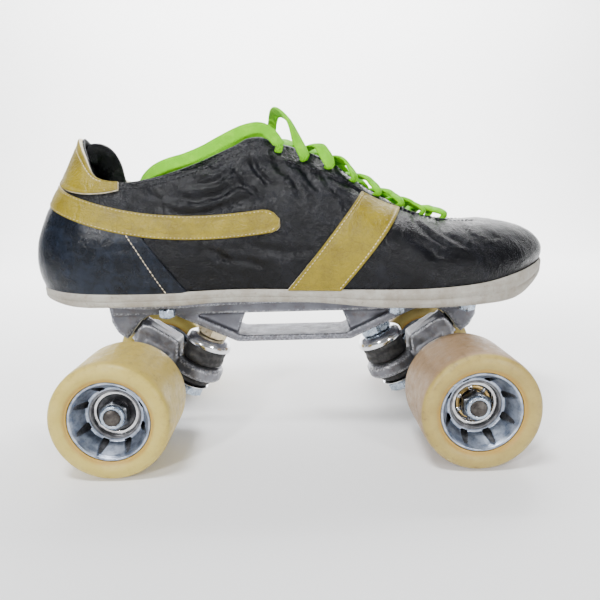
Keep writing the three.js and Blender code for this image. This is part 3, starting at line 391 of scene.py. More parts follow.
# ---- materials --------------------------------------------------------------------
class Paint:
    """A node material. Its coordinates are the piece's own, in millimetres."""

    def __init__(self, name, **sockets):
        self.made = bpy.data.materials.new(name)
        self.made.use_nodes = True
        self.tree = self.made.node_tree
        self.shader = self.tree.nodes["Principled BSDF"]
        for socket, value in sockets.items():
            self.shader.inputs[socket.replace("_", " ")].default_value = value
        coordinates = self.node("ShaderNodeTexCoord")
        scaled = self.node("ShaderNodeVectorMath", operation="SCALE")
        scaled.inputs["Scale"].default_value = 1000
        self.join(coordinates.outputs["Object"], scaled.inputs[0])
        self.at = scaled.outputs[0]

    def node(self, kind, **settings):
        made = self.tree.nodes.new(kind)
        for key, value in settings.items():
            setattr(made, key, value)
        return made

    def join(self, a, b):
        self.tree.links.new(a, b)

    def feed(self, value, socket):
        if isinstance(value, bpy.types.NodeSocket):
            self.join(value, socket)
        else:
            socket.default_value = value

    def stretch(self, x, y, z, at=None):
        made = self.node("ShaderNodeVectorMath", operation="MULTIPLY")
        self.join(at or self.at, made.inputs[0])
        made.inputs[1].default_value = (x, y, z)
        return made.outputs[0]

    def noise(self, size, detail=4, rough=0.55, warp=0.0, at=None):
        made = self.node("ShaderNodeTexNoise")
        self.join(at or self.at, made.inputs["Vector"])
        made.inputs["Scale"].default_value = 1 / size
        made.inputs["Detail"].default_value = detail
        made.inputs["Roughness"].default_value = rough
        made.inputs["Distortion"].default_value = warp
        return made.outputs["Fac"]

    def cells(self, size, feature="F1", randomness=1.0, at=None):
        made = self.node("ShaderNodeTexVoronoi", feature=feature)
        self.join(at or self.at, made.inputs["Vector"])
        made.inputs["Scale"].default_value = 1 / size
        made.inputs["Randomness"].default_value = randomness
        return made.outputs["Distance"]

    def wave(self, size, axis="X", at=None, warp=0.0):
        made = self.node("ShaderNodeTexWave", bands_direction=axis)
        self.join(at or self.at, made.inputs["Vector"])
        made.inputs["Scale"].default_value = math.pi / 10 / size
        made.inputs["Distortion"].default_value = warp
        return made.outputs["Fac"]

    def warped(self, size, amount):
        """The coordinates pushed about by noise, so that cells don't look regular."""
        made = self.node("ShaderNodeTexNoise")
        self.join(self.at, made.inputs["Vector"])
        made.inputs["Scale"].default_value = 1 / size
        made.inputs["Detail"].default_value = 2
        scaled = self.node("ShaderNodeVectorMath", operation="SCALE")
        scaled.inputs["Scale"].default_value = amount
        self.join(made.outputs["Color"], scaled.inputs[0])
        added = self.node("ShaderNodeVectorMath", operation="ADD")
        self.join(self.at, added.inputs[0])
        self.join(scaled.outputs[0], added.inputs[1])
        return added.outputs[0]

    def math(self, operation, a, b=0.0):
        made = self.node("ShaderNodeMath", operation=operation)
        self.feed(a, made.inputs[0])
        self.feed(b, made.inputs[1])
        return made.outputs[0]

    def ramp(self, value, low, high, a=0.0, b=1.0):
        made = self.node("ShaderNodeMapRange", interpolation_type="SMOOTHSTEP")
        self.join(value, made.inputs["Value"])
        for socket, number in (("From Min", low), ("From Max", high), ("To Min", a), ("To Max", b)):
            made.inputs[socket].default_value = number
        return made.outputs["Result"]

    def mix(self, share, a, b):
        made = self.node("ShaderNodeMix", data_type="RGBA")
        self.feed(share, made.inputs[0])
        for value, socket in ((a, made.inputs[6]), (b, made.inputs[7])):
            self.feed(value if isinstance(value, bpy.types.NodeSocket) else (*value, 1), socket)
        return made.outputs[2]

    def radius(self):
        """Distance from the piece's own Z axis, and the place along it."""
        parts = self.node("ShaderNodeSeparateXYZ")
        self.join(self.at, parts.inputs[0])
        square = self.math("ADD", self.math("MULTIPLY", parts.outputs[0], parts.outputs[0]),
                           self.math("MULTIPLY", parts.outputs[1], parts.outputs[1]))
        return self.math("SQRT", square), parts.outputs[2]

    def finish(self, color=None, rough=None, bumps=(), metal=None):
        if color is not None:
            self.join(color, self.shader.inputs["Base Color"])
        if rough is not None:
            self.join(rough, self.shader.inputs["Roughness"])
        if metal is not None:
            self.join(metal, self.shader.inputs["Metallic"])
        normal = None
        for height, depth in bumps:
            bump = self.node("ShaderNodeBump")
            bump.inputs["Strength"].default_value = 1.0
            bump.inputs["Distance"].default_value = depth * MM
            self.join(height, bump.inputs["Height"])
            if normal:
                self.join(normal, bump.inputs["Normal"])
            normal = bump.outputs[0]
        if normal:
            self.join(normal, self.shader.inputs["Normal"])
        return self.made


def edge_wear(p):
    """1 on sharp outer edges, 0 elsewhere."""
    return p.ramp(p.node("ShaderNodeNewGeometry").outputs["Pointiness"], 0.505, 0.53)


def black_leather(name, base, painted_sheen, grain, gloss):
    p = Paint(name, Specular_IOR_Level=0.22)
    grains = p.cells(0.72, at=p.warped(3, 1.4))
    fine = p.noise(0.3, 3)
    patches = p.noise(20, 6, 0.62)
    folds = p.noise(4.5, 5, 0.6, 0.8)
    sheen_share = p.math("ADD", p.math("MULTIPLY", patches, 0.45), p.math("MULTIPLY", folds, 0.55))
    # Painted sheen: a bluer, lighter leather colour laid on the noise patches and the raised folds.
    color = p.mix(p.ramp(sheen_share, 0.42, 0.66), base, painted_sheen)
    color = p.mix(p.ramp(grains, 0.0, 0.32, 0.6, 0), color, (0.003, 0.003, 0.0045))
    dull = p.math("ADD", p.math("MULTIPLY", patches, 0.6), p.math("MULTIPLY", fine, 0.4))
    dents = p.noise(11, 3, 0.5, 0.5)
    bumps = [(dents, 1.0 * grain), (folds, 0.55 * grain), (grains, 0.2 * grain), (fine, 0.03)]
    return p.finish(color, p.ramp(dull, 0.36, 0.64, *gloss), bumps)


def gold_leather():
    p = Paint("gold leather", Specular_IOR_Level=0.45)
    at = p.warped(4, 3.0)
    grains = p.cells(0.8, at=at)
    cracks = p.cells(3.4, "DISTANCE_TO_EDGE", at=at)
    patches = p.noise(14, 5, 0.6)
    color = p.mix(p.ramp(patches, 0.32, 0.7), (0.15, 0.108, 0.001), (0.24, 0.182, 0.0025))
    # Painted highlight: the raised rims of the grain cells are lighter.
    color = p.mix(p.ramp(grains, 0.1, 0.6, 0.0, 0.18), color, (0.33, 0.255, 0.009))
    # Painted shade: the crack grooves are darker.
    color = p.mix(p.ramp(cracks, 0.0, 0.06, 0.3, 0), color, (0.09, 0.05, 0.002))
    color = p.mix(p.ramp(p.noise(5, 6, 0.7), 0.58, 0.75, 0, 0.35), color, (0.10, 0.058, 0.003))
    rough = p.ramp(p.noise(6, 3), 0.3, 0.7, 0.34, 0.52)
    folds = p.noise(6, 5, 0.6, 0.6)
    return p.finish(color, rough, [(folds, 0.6), (cracks, 0.28), (grains, 0.16), (p.noise(0.35), 0.05)])


def raw_edge():
    p = Paint("raw leather edge", Specular_IOR_Level=0.3)
    color = p.mix(p.ramp(p.noise(1.6, 4), 0.35, 0.65), (0.66, 0.55, 0.34), (0.86, 0.80, 0.64))
    return p.finish(color, p.ramp(p.noise(1), 0, 1, 0.6, 0.8), [(p.noise(0.5), 0.15)])


def lining():
    p = Paint("shoe lining", Specular_IOR_Level=0.3)
    weave = p.math("MULTIPLY", p.wave(0.5, "X"), p.wave(0.5, "Z"))
    color = p.mix(p.ramp(p.noise(9, 4), 0.3, 0.7), (0.012, 0.012, 0.014), (0.045, 0.043, 0.045))
    return p.finish(color, p.ramp(weave, 0, 1, 0.7, 0.9), [(weave, 0.12), (p.noise(4), 0.4)])


def thread():
    p = Paint("cream thread", Specular_IOR_Level=0.3, Sheen_Weight=0.3)
    twist = p.noise(0.25, 2)
    color = p.mix(twist, (0.50, 0.40, 0.24), (0.86, 0.78, 0.60))
    return p.finish(color, p.ramp(twist, 0, 1, 0.6, 0.85), [(twist, 0.06)])


def dark_thread():
    p = Paint("black thread", Specular_IOR_Level=0.4)
    twist = p.noise(0.25, 2)
    color = p.mix(twist, (0.006, 0.006, 0.008), (0.03, 0.03, 0.035))
    return p.finish(color, p.ramp(twist, 0, 1, 0.5, 0.75), [(twist, 0.06)])


def sole_rubber():
    p = Paint("aged sole", Specular_IOR_Level=0.35)
    layers = p.wave(2.6, "Z", warp=2.5)
    dirt = p.noise(13, 6, 0.65)
    color = p.mix(p.ramp(dirt, 0.36, 0.66), (0.27, 0.245, 0.20), (0.40, 0.385, 0.34))
    color = p.mix(p.ramp(layers, 0.8, 1.0, 0, 0.16), color, (0.26, 0.22, 0.18))
    color = p.mix(p.ramp(p.noise(2.6, 6, 0.7), 0.54, 0.72, 0, 0.8), color, (0.20, 0.16, 0.125))
    color = p.mix(p.ramp(p.noise(26, 3), 0.5, 0.7, 0, 0.45), color, (0.27, 0.25, 0.235))
    return p.finish(color, p.ramp(dirt, 0.3, 0.7, 0.42, 0.68), [(layers, 0.05), (p.noise(0.8, 5), 0.12)])


def insole_leather():
    p = Paint("insole", Specular_IOR_Level=0.25)
    color = p.mix(p.ramp(p.noise(16, 6), 0.3, 0.7), (0.075, 0.058, 0.045), (0.20, 0.155, 0.115))
    return p.finish(color, p.ramp(p.noise(8), 0, 1, 0.65, 0.85), [(p.cells(0.7), 0.1), (p.noise(2), 0.2)])


def lace_fabric():
    p = Paint("neon lace", Specular_IOR_Level=0.15)
    one = p.stretch(1, 0.55, 0.8)
    warp = p.wave(0.34, "DIAGONAL", at=one)
    weft = p.wave(0.34, "DIAGONAL", at=p.stretch(1, -0.55, -0.8))
    weave = p.math("MAXIMUM", warp, weft)
    color = p.mix(p.ramp(weave, 0.35, 1.0), (0.04, 0.26, 0.0015), (0.26, 0.78, 0.006))
    color = p.mix(p.ramp(p.noise(5, 4), 0.45, 0.75, 0, 0.4), color, (0.36, 0.86, 0.02))
    return p.finish(color, p.ramp(weave, 0, 1, 0.85, 0.62), [(weave, 0.2), (p.noise(0.5, 3), 0.12)])


def urethane(name, tread, body, lip, dirt):
    p = Paint(name, Specular_IOR_Level=0.45, Subsurface_Weight=0.08, Subsurface_Scale=0.004)
    p.shader.inputs["Subsurface Radius"].default_value = (1.0, 0.6, 0.25)
    r, z = p.radius()
    far = p.math("ABSOLUTE", z)
    cloud = p.noise(11, 5, 0.6)
    color = p.mix(p.ramp(cloud, 0.35, 0.7, 0, 0.5), body, lip)
    # Painted shade: a deeper orange where the outer face slopes in towards the hub rim.
    painted_rim_shade = p.ramp(p.math("ADD", r, p.math("MULTIPLY", cloud, 1.2)), 20.8, 22.6, 0.85, 0)
    color = p.mix(painted_rim_shade, color, (0.38, 0.22, 0.035))
    on_tread = p.ramp(far, 19.6, 17.4)
    color = p.mix(p.math("MULTIPLY", on_tread, p.ramp(r, 27.0, 28.2)), color, tread)
    stains = p.ramp(p.noise(3.4, 7, 0.72), 0.50, 0.74, 0, 1)
    streaks = p.ramp(p.noise(5, 5, 0.7, at=p.stretch(1, 1, 0.25)), 0.5, 0.78, 0, 0.8)
    soiled = p.math("MULTIPLY", p.math("MAXIMUM", stains, streaks), p.ramp(r, 23, 28, 0.25, 1))
    color = p.mix(soiled, color, dirt)
    rough = p.ramp(p.noise(4, 5), 0.3, 0.7, 0.34, 0.58)
    turned_rings = p.wave(0.45, "Z", warp=0.8)
    return p.finish(color, rough, [(p.noise(5, 5), 0.35), (turned_rings, 0.012), (p.noise(0.6, 4), 0.05)])


def machined_hub():
    p = Paint("machined hub", Metallic=1.0)
    r, z = p.radius()
    ring = p.node("ShaderNodeCombineXYZ")
    p.join(r, ring.inputs[0])
    p.join(z, ring.inputs[1])
    turned = p.noise(0.16, 3, 0.7, at=ring.outputs[0])
    stain = p.noise(4.5, 6, 0.65)
    color = p.mix(p.ramp(stain, 0.35, 0.68), (0.24, 0.28, 0.36), (0.52, 0.57, 0.66))
    color = p.mix(p.ramp(p.noise(1.5, 5, 0.7), 0.55, 0.70, 0, 0.7), color, (0.28, 0.26, 0.25))
    rough = p.ramp(p.math("ADD", turned, stain), 0.6, 1.4, 0.24, 0.5)
    return p.finish(color, rough, [(turned, 0.03), (p.noise(2.5), 0.05)])


def steel(name, low, high, stain, gloss, amount=0.5, grain=0.03):
    p = Paint(name, Metallic=1.0)
    cloud = p.noise(4, 6, 0.65)
    color = p.mix(p.ramp(cloud, 0.3, 0.7), low, high)
    color = p.mix(p.ramp(p.noise(1.8, 6, 0.7), 0.55, 0.75, 0, amount), color, stain)
    scratches = p.noise(0.5, 3, 0.6, at=p.stretch(0.2, 1, 1))
    rough = p.ramp(p.noise(1.2, 5), 0.3, 0.75, *gloss)
    return p.finish(color, rough, [(scratches, grain), (p.noise(1.1), grain)])


def cast_aluminium(name, low, high, wear, speckle):
    p = Paint(name)
    cloud = p.noise(12, 6, 0.62)
    color = p.mix(p.ramp(cloud, 0.34, 0.66), low, high)
    color = p.mix(p.ramp(p.noise(7, 6, 0.7), 0.52, 0.72, 0, 0.55), color, (0.115, 0.082, 0.06))
    bright = p.math("MULTIPLY", p.ramp(p.noise(1.3, 5, 0.7), 0.42, 0.66), edge_wear(p))
    bright = p.math("MAXIMUM", bright, p.ramp(p.noise(0.9, 3, 0.8), 0.66, 0.72, 0, speckle))
    color = p.mix(bright, color, wear)
    rough = p.ramp(p.noise(3, 5), 0.3, 0.7, 0.38, 0.6)
    return p.finish(color, rough, [(p.noise(1.4, 5, 0.6), 0.16), (p.noise(0.45, 3), 0.06)],
                    metal=p.ramp(cloud, 0.3, 0.7, 0.72, 0.92))


def soft_rubber():
    p = Paint("cushion rubber", Specular_IOR_Level=0.4)
    color = p.mix(p.ramp(p.noise(3, 5), 0.35, 0.7), (0.008, 0.008, 0.009), (0.035, 0.033, 0.032))
    return p.finish(color, p.ramp(p.noise(2), 0, 1, 0.45, 0.7), [(p.noise(1.0, 4), 0.1)])


def nylon():
    p = Paint("pivot nylon", Specular_IOR_Level=0.45)
    color = p.mix(p.ramp(p.noise(3, 4), 0.3, 0.7), (0.58, 0.53, 0.38), (0.80, 0.77, 0.64))
    return p.finish(color, p.ramp(p.noise(2), 0, 1, 0.35, 0.55), [(p.noise(0.8), 0.04)])


# Colours are darker and more saturated than they look, because the view transform lifts them.
LOOKS = {
    "leather": black_leather("black leather", (0.0012, 0.0013, 0.002), (0.006, 0.0065, 0.0095), 1.0,
                             (0.16, 0.32)),
    "counter": black_leather("counter leather", (0.003, 0.0045, 0.008), (0.010, 0.015, 0.027), 0.4,
                             (0.2, 0.36)),
    "gold": gold_leather(),
    "edge": raw_edge(),
    "lining": lining(),
    "thread": thread(),
    "dark_thread": dark_thread(),
    "sole": sole_rubber(),
    "insole": insole_leather(),
    "lace": lace_fabric(),
    "front_tyre": urethane("front urethane", (0.30, 0.195, 0.105), (0.34, 0.25, 0.065), (0.43, 0.34, 0.095),
                           (0.17, 0.105, 0.05)),
    "rear_tyre": urethane("rear urethane", (0.50, 0.375, 0.085), (0.46, 0.355, 0.075), (0.53, 0.435, 0.12),
                          (0.30, 0.215, 0.055)),
    "hub": machined_hub(),
    "rubber": soft_rubber(),
    "nylon": nylon(),
    "plate": cast_aluminium("cast plate", (0.115, 0.118, 0.138), (0.215, 0.22, 0.25), (0.42, 0.43, 0.47),
                            0.06),
    "hanger": cast_aluminium("cast hanger", (0.125, 0.125, 0.14), (0.25, 0.255, 0.28), (0.62, 0.63, 0.66),
                             0.4),
}
# Bare metals: look, name, dark and light colour, stain, roughness from and to, then, where
# they differ from the rest, how much stain and how much grain.
for look, *metal in (
    # Painted shade: a darker copy of the hub's metal for the deep slots and the bearing recess.
    ("hub_slot_shade", "hub slot shade", (0.10, 0.10, 0.105), (0.26, 0.26, 0.27), (0.05, 0.04, 0.035), (0.35, 0.55), 0.8),
    ("race", "bearing steel", (0.42, 0.42, 0.43), (0.75, 0.75, 0.76), (0.16, 0.12, 0.09), (0.12, 0.3)),
    ("shield", "bearing shield", (0.05, 0.05, 0.055), (0.13, 0.13, 0.135), (0.05, 0.035, 0.025),
     (0.35, 0.55)),
    ("brass", "bearing cage", (0.42, 0.27, 0.09), (0.68, 0.49, 0.20), (0.16, 0.09, 0.04), (0.25, 0.45)),
    ("steel", "turned steel", (0.38, 0.37, 0.35), (0.62, 0.60, 0.57), (0.20, 0.15, 0.11), (0.22, 0.45)),
    # A dark steel for the whole threaded axle.
    ("dark_axle_steel", "axle end", (0.045, 0.04, 0.038), (0.12, 0.11, 0.10), (0.035, 0.028, 0.022), (0.4, 0.62),
     0.8, 0.08),
    ("zinc", "zinc plate", (0.26, 0.31, 0.38), (0.52, 0.60, 0.70), (0.15, 0.13, 0.12), (0.2, 0.4)),
    # Painted shade: a darker copy of the zinc for the lock nuts' hexagons.
    ("shaded_zinc", "shaded nut", (0.055, 0.06, 0.065), (0.15, 0.16, 0.18), (0.05, 0.04, 0.035), (0.25, 0.5),
     0.7),
    ("worn_zinc", "worn plate", (0.52, 0.42, 0.26), (0.74, 0.66, 0.48), (0.30, 0.20, 0.11), (0.25, 0.5)),
    ("cup", "polished cup", (0.66, 0.67, 0.70), (0.90, 0.91, 0.93), (0.42, 0.36, 0.30), (0.08, 0.25), 0.35,
     0.015),
):
    LOOKS[look] = steel(*metal)
for tail in tails:
    tail.data.materials.append(LOOKS["lace"])


# ---- wheels -----------------------------------------------------------------------
# A wheel is drawn about its own Z, with +Z outboard and its middle at 0.
HUB_R, HUB_RIM = 19.3, 19.0
DISH_FLOOR, DISH_R = 9.6, 13.0
SEAT_R = 11.15
SLOTS, SLOT_WIDTH, SLOT_DEPTH = 8, 3.9, 5.2
HUB_STEPS = 384
BEARING_SEATS = {"outboard": 1, "inboard": -1}
BEARING_SHIFT = 4.2
AXLE_R = 3.9


def mirrored(profile):
    """An outline given for +Z, closed by its mirror image."""
    return [(r, -z) for r, z in reversed(profile)] + list(profile)


def tyre_mesh():
    side = [(WHEEL_R, 16.6), (WHEEL_R - 0.5, 19.2), (WHEEL_R - 1.9, 20.45), (WHEEL_R - 4.0, 20.95),
            (23.2, 20.9), (21.6, 20.3), (20.7, 19.75), (20.2, 19.35), (HUB_R + 0.1, 19.2)]
    outline = fillet(mirrored(side), 1.6, 5)
    outline += [(HUB_R + 0.1, z) for z in np.linspace(19.0, -19.0, 5)]
    pile = Pile()
    pile.add(*lathe(outline, 144))
    mesh = pile.mesh("tyre")
    for v in mesh.vertices:
        r = math.hypot(v.co.x, v.co.y)
        if r > 0.0275:
            push = noise.noise(Vector(v.co) * 160) * 0.00006
            v.co.x *= 1 + push / r
            v.co.y *= 1 + push / r
    return mesh


def hub_stations():
    """The outline of one side's dish: rim, cone, floor, snap ring and bearing seat."""
    cone_from, cone_to = (HUB_R - 1.8, HUB_RIM - 1.35), (DISH_R + 0.9, DISH_FLOOR + 0.25)
    cone = [(cone_from[0] + (cone_to[0] - cone_from[0]) * t, cone_from[1] + (cone_to[1] - cone_from[1]) * t)
            for t in np.linspace(0, 1, 26)]
    return np.array([
        (HUB_R, 17.0), (HUB_R, HUB_RIM - 0.35), (HUB_R - 0.3, HUB_RIM - 0.05), (HUB_R - 0.95, HUB_RIM),
        (HUB_R - 1.25, HUB_RIM - 0.2), (HUB_R - 1.5, HUB_RIM - 1.0), *cone,
        (DISH_R + 0.5, DISH_FLOOR + 0.05), (DISH_R + 0.1, DISH_FLOOR), (DISH_R - 0.45, DISH_FLOOR),
        (DISH_R - 0.55, DISH_FLOOR - 0.35), (DISH_R - 0.85, DISH_FLOOR - 0.35), (DISH_R - 0.95, DISH_FLOOR),
        (SEAT_R + 0.25, DISH_FLOOR), (SEAT_R, DISH_FLOOR - 0.25), (SEAT_R, 8.0), (SEAT_R, 0.6),
        (SEAT_R - 1.6, 0.6), (SEAT_R - 1.6, 0.0)])


def hub_face(pile, turn):
    """Adds one side's dish as a fine grid with the slots pressed in, and says which faces are dark: painted
    shade deep in the slots and in the bearing recess.
    """
    stations = hub_stations()
    angles = np.arange(HUB_STEPS) * 2 * math.pi / HUB_STEPS
    r = np.repeat(stations[:, :1], HUB_STEPS, 1)
    z = np.repeat(stations[:, 1:], HUB_STEPS, 1)
    phase = (angles * SLOTS / (2 * math.pi)) % 1 - 0.5
    across = np.abs(phase * 2 * math.pi / SLOTS)[None] * r
    along = np.clip((r - (DISH_R + 0.3)) / (HUB_R - 1.9 - DISH_R), 0, 1)
    half = (SLOT_WIDTH / 2) * np.sqrt(np.clip(1 - along ** 2, 0, 1)) * (0.75 + 0.25 * smooth(along * 4))
    start = np.clip((r - DISH_R - 0.15) / 0.5, 0, 1)
    cut = smooth((half - across) / 0.32) * (SLOT_DEPTH * (1 - along) ** 0.75 * start * (along < 1))
    z = z - cut
    points = np.stack([r * np.cos(angles)[None], r * np.sin(angles)[None], z], 2)
    pile.add(points.reshape(-1, 3) @ turn.T, quads(len(stations), HUB_STEPS, False, True))
    # Painted shade goes on the faces deep in the slots and down in the bearing recess.
    recess = (r < DISH_R - 0.5) & (z < DISH_FLOOR + 0.1)
    return ((cut[:-1] + cut[1:] > 1.3) | (recess[:-1] & recess[1:])).ravel()


def hub_mesh():
    """Both dishes and the barrel that the tyre sits on."""
    pile = Pile()
    dark = np.concatenate([hub_face(pile, np.eye(3)), hub_face(pile, np.diag([1.0, -1.0, -1.0]))])
    pile.add(*lathe([(HUB_R, 17.0), (HUB_R, -17.0)], HUB_STEPS, False))
    mesh = sharpen(pile.mesh("hub"), 40)
    mesh.materials.append(LOOKS["hub"])
    mesh.materials.append(LOOKS["hub_slot_shade"])
    for k in np.flatnonzero(dark):
        mesh.polygons[int(k)].material_index = 1
    return mesh


def bearing_parts(shielded):
    """Races, balls, cage and shield of one bearing about Z, with its outer face up."""
    races, balls, cover = Pile(), Pile(), Pile()
    for outline in (
        [(9.3, -3.5), (11.05, -3.5), (11.05, 3.5), (9.3, 3.5), (9.3, 1.7), (9.75, 0.9), (9.75, -0.9),
         (9.3, -1.7)],
        [(4.15, -3.5), (5.9, -3.5), (5.9, -1.7), (5.45, -0.9), (5.45, 0.9), (5.9, 1.7), (5.9, 3.5),
         (4.15, 3.5)],
    ):
        races.add(*lathe(fillet(outline, 0.3, 3)))
    shield = [(5.95, 2.5), (8.9, 2.5), (9.3, 2.9), (9.3, 2.3), (8.9, 2.0), (5.95, 2.0)]
    cage = [(6.7, 0.6), (8.5, 0.6), (8.5, 1.5), (8.2, 1.8), (7.0, 1.8), (6.7, 1.5)]
    cover.add(*lathe(fillet(shield if shielded else cage, 0.15, 2)))
    if not shielded:
        arc = np.linspace(0, math.pi, 13)
        ball = lathe([(1.95 * math.sin(a), -1.95 * math.cos(a)) for a in arc], 20, False)
        for i in range(7):
            turn = 2 * math.pi * i / 7
            balls.add(ball[0] + [7.6 * math.cos(turn), 7.6 * math.sin(turn), 0.2], ball[1])
    return races, balls, cover


def bearing_meshes(shielded, out):
    """One bearing's meshes in its seat, each with its word and look; out is 1 for the outboard one."""
    races, balls, cover = bearing_parts(shielded)
    for pile in (races, balls, cover):
        pile.points = [p * [1, out, out] + [0, 0, BEARING_SHIFT * out] for p in pile.points]
    meshes = [("races", sharpen(races.mesh("races")), "race"),
              ("cover", sharpen(cover.mesh("cover")), "shield" if shielded else "brass")]
    if balls.count:
        meshes.append(("balls", balls.mesh("balls"), "race"))
    return meshes


def wheel_matrix(x, side):
    place = Matrix.Rotation(-side * math.pi / 2, 4, "X")
    place.translation = Vector((x, side * WHEEL_Y, WHEEL_R)) * MM
    return place


def add_wheel(wheel, place, tyre, tyre_look, hub, bearings):
    body = wheel + "_wheel"
    link(wheel + "_tread_and_lips", tyre, body, wheel + "_tyre", slot="urethane", material=LOOKS[tyre_look],
         matrix=place)
    link(wheel + "_spoked_hub", hub, body, wheel + "_hub", slot="hub_aluminium", matrix=place)
    for part, meshes in bearings.items():
        for word, mesh, look in meshes:
            stands = [f"{wheel}_bearing_{part}"] if word == "races" else []
            link(f"{wheel}_{part}_{word}", mesh, body, *stands, slot="bearing_steel", material=LOOKS[look],
                 matrix=place)


def add_wheels():
    hub = hub_mesh()
    tyres = {"front": tyre_mesh()}
    tyres["rear"] = tyres["front"].copy()
    for end, way in ENDS.items():
        bearings = {part: bearing_meshes(end == "rear", out) for part, out in BEARING_SEATS.items()}
        for side_name, side in SIDES.items():
            add_wheel(f"{end}_{side_name}", wheel_matrix(AXLE_X * way, side), tyres[end], end + "_tyre", hub,
                      bearings)


add_wheels()


# ---- trucks -----------------------------------------------------------------------
KINGPIN_TILT, PIVOT_TILT = math.radians(25), math.radians(37)
RING_Z, RING_X = 30.5, 57.0
BORE, CUP_LEVEL = 4.95, 17.2
NUT_LEVEL, COLLAR_LEVEL, AXLE_TIP = 63.05, 67.6, 70.9
# Rings on the kingpin, measured from the middle of the hanger's ring: name, CAD node,
# look, slot, rounding, and outline as (radius, height).
KINGPIN_RINGS = [
    ("upper_cushion", "cushion_upper", "rubber", "cushion_rubber", 1.0, [
        (BORE + 0.2, 4.4), (10.9, 4.4), (12.1, 5.6), (12.35, 8.2), (11.7, 10.4), (12.2, 12.6),
        (11.2, 15.6), (10.2, 17.1), (BORE + 0.2, 17.1)]),
    ("lower_cushion", "cushion_lower", "rubber", "cushion_rubber", 0.8, [
        (BORE + 0.2, -9.0), (8.2, -9.0), (9.5, -7.6), (10.2, -5.6), (9.8, -4.4), (BORE + 0.2, -4.4)]),
    ("spun_cup", "cushion_cup", "cup", "polished_cup", 0.9, [
        (BORE + 0.1, CUP_LEVEL + 0.35), (11.0, CUP_LEVEL + 0.3), (12.5, CUP_LEVEL - 0.9),
        (12.75, CUP_LEVEL - 2.2), (13.35, CUP_LEVEL - 2.25), (13.55, CUP_LEVEL - 0.4),
        (12.7, CUP_LEVEL + 1.6), (10.6, CUP_LEVEL + 3.1), (8.2, CUP_LEVEL + 3.62),
        (BORE + 0.1, CUP_LEVEL + 3.65)]),
    ("dished_washer", "cushion_washer", "cup", "plain_steel", 0.3, [
        (BORE + 0.1, -10.6), (8.9, -10.6), (9.75, -10.0), (9.8, -9.45), (BORE + 0.1, -9.45)]),
]
PIVOT_CUP = [
    (0, 50.4), (4.7, 50.4), (4.7, 42.1), (6.9, 41.7), (6.9, 42.6), (6.3, 43.0), (6.3, 51.7), (0, 51.7)]


def kingpin_frame(way):
    """Direction up the kingpin and the middle of the hanger's ring, at one end of the skate."""
    along = np.array([-way * math.sin(KINGPIN_TILT), 0, math.cos(KINGPIN_TILT)])
    return along, np.array([way * RING_X, 0, RING_Z])


def remeshed(node, name, body, look, slot, voxel, rounds):
    """A cast copy of a CAD solid: the same shape with small fillets on every edge."""
    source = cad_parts[node]
    piece = bpy.data.objects.new(name, source.data.copy())
    bpy.context.scene.collection.objects.link(piece)
    fine = piece.modifiers.new("voxels", "REMESH")
    fine.mode = "VOXEL"
    fine.voxel_size = voxel * MM
    fine.use_smooth_shade = True
    soft = piece.modifiers.new("soft", "SMOOTH")
    soft.factor = 0.5
    soft.iterations = rounds
    depsgraph = bpy.context.evaluated_depsgraph_get()
    done = bpy.data.meshes.new_from_object(piece.evaluated_get(depsgraph), depsgraph=depsgraph)
    bpy.data.objects.remove(piece)
    done.name = name
    done.polygons.foreach_set("use_smooth", [True] * len(done.polygons))
    return link(name, done, body, node, slot=slot, material=LOOKS[look])


def turned_piece(name, node, outline, look, slot, radius, place, segments=96):
    """A ring about the axis that place gives, fixed to the skate."""
    points, faces = lathe(fillet(outline, radius, 4), segments)
    pile = Pile()
    pile.add(frame_at(points, **place), faces)
    link(name, sharpen(pile.mesh(name), 42), "skate", node, slot=slot, material=LOOKS[look])


def threaded_rod(radius, low, high, pitch=1.25, segments=32, chamfer=0.8):
    """A rod about Z with thread-like rings."""
    steps = int((high - low) / pitch * 4) + 1
    outline = [(0, low)]
    for i, z in enumerate(np.linspace(low, high, steps)):
        end = min(z - low, high - z) / chamfer
        outline.append((radius - (0.35 if i % 2 else 0) - 0.9 * max(0, 1 - end), z))
    outline.append((0, high))
    return lathe(outline, segments, False)


def add_truck(end, way):
    up, ring = kingpin_frame(way)
    place = {"along": up, "origin": ring}
    remeshed(f"{end}_hanger", f"{end}_cast_hanger", f"{end}_truck", "hanger", "cast_aluminium", 0.75, 4)
    for word, node, look, slot, radius, outline in KINGPIN_RINGS:
        turned_piece(f"{end}_{word}", f"{end}_{node}", outline, look, slot, radius, place)
    for word, flats, base, height, look in (
        ("jam_nut", 17, 21.2, 5.7, "zinc" if way > 0 else "worn_zinc"),
        ("kingpin_nut", 15, -16.05, 5.2, "zinc"),
    ):
        points, faces = hexagon(flats, height, BORE + 0.1)
        pile = Pile()
        pile.add(frame_at(points + [0, 0, base], **place), faces)
        link(f"{end}_{word}_hex", sharpen(pile.mesh(word), 25), "skate", f"{end}_{word}", slot="zinc_steel",
             material=LOOKS[look])
    pile = Pile()
    points, faces = threaded_rod(4.75, -17.1, 40.5, 1.5)
    pile.add(frame_at(points, **place), faces)
    link(f"{end}_threaded_kingpin", sharpen(pile.mesh("kingpin"), 60), "skate", f"{end}_kingpin",
         slot="plain_steel", material=LOOKS["steel"])
    along_pivot = {"along": np.array([way * math.cos(PIVOT_TILT), 0, math.sin(PIVOT_TILT)]), "origin": ring}
    turned_piece(f"{end}_nylon_cup", f"{end}_pivot_cup", PIVOT_CUP, "nylon", "pivot_nylon", 0.25,
                 along_pivot, 64)
    add_axle(end, way)


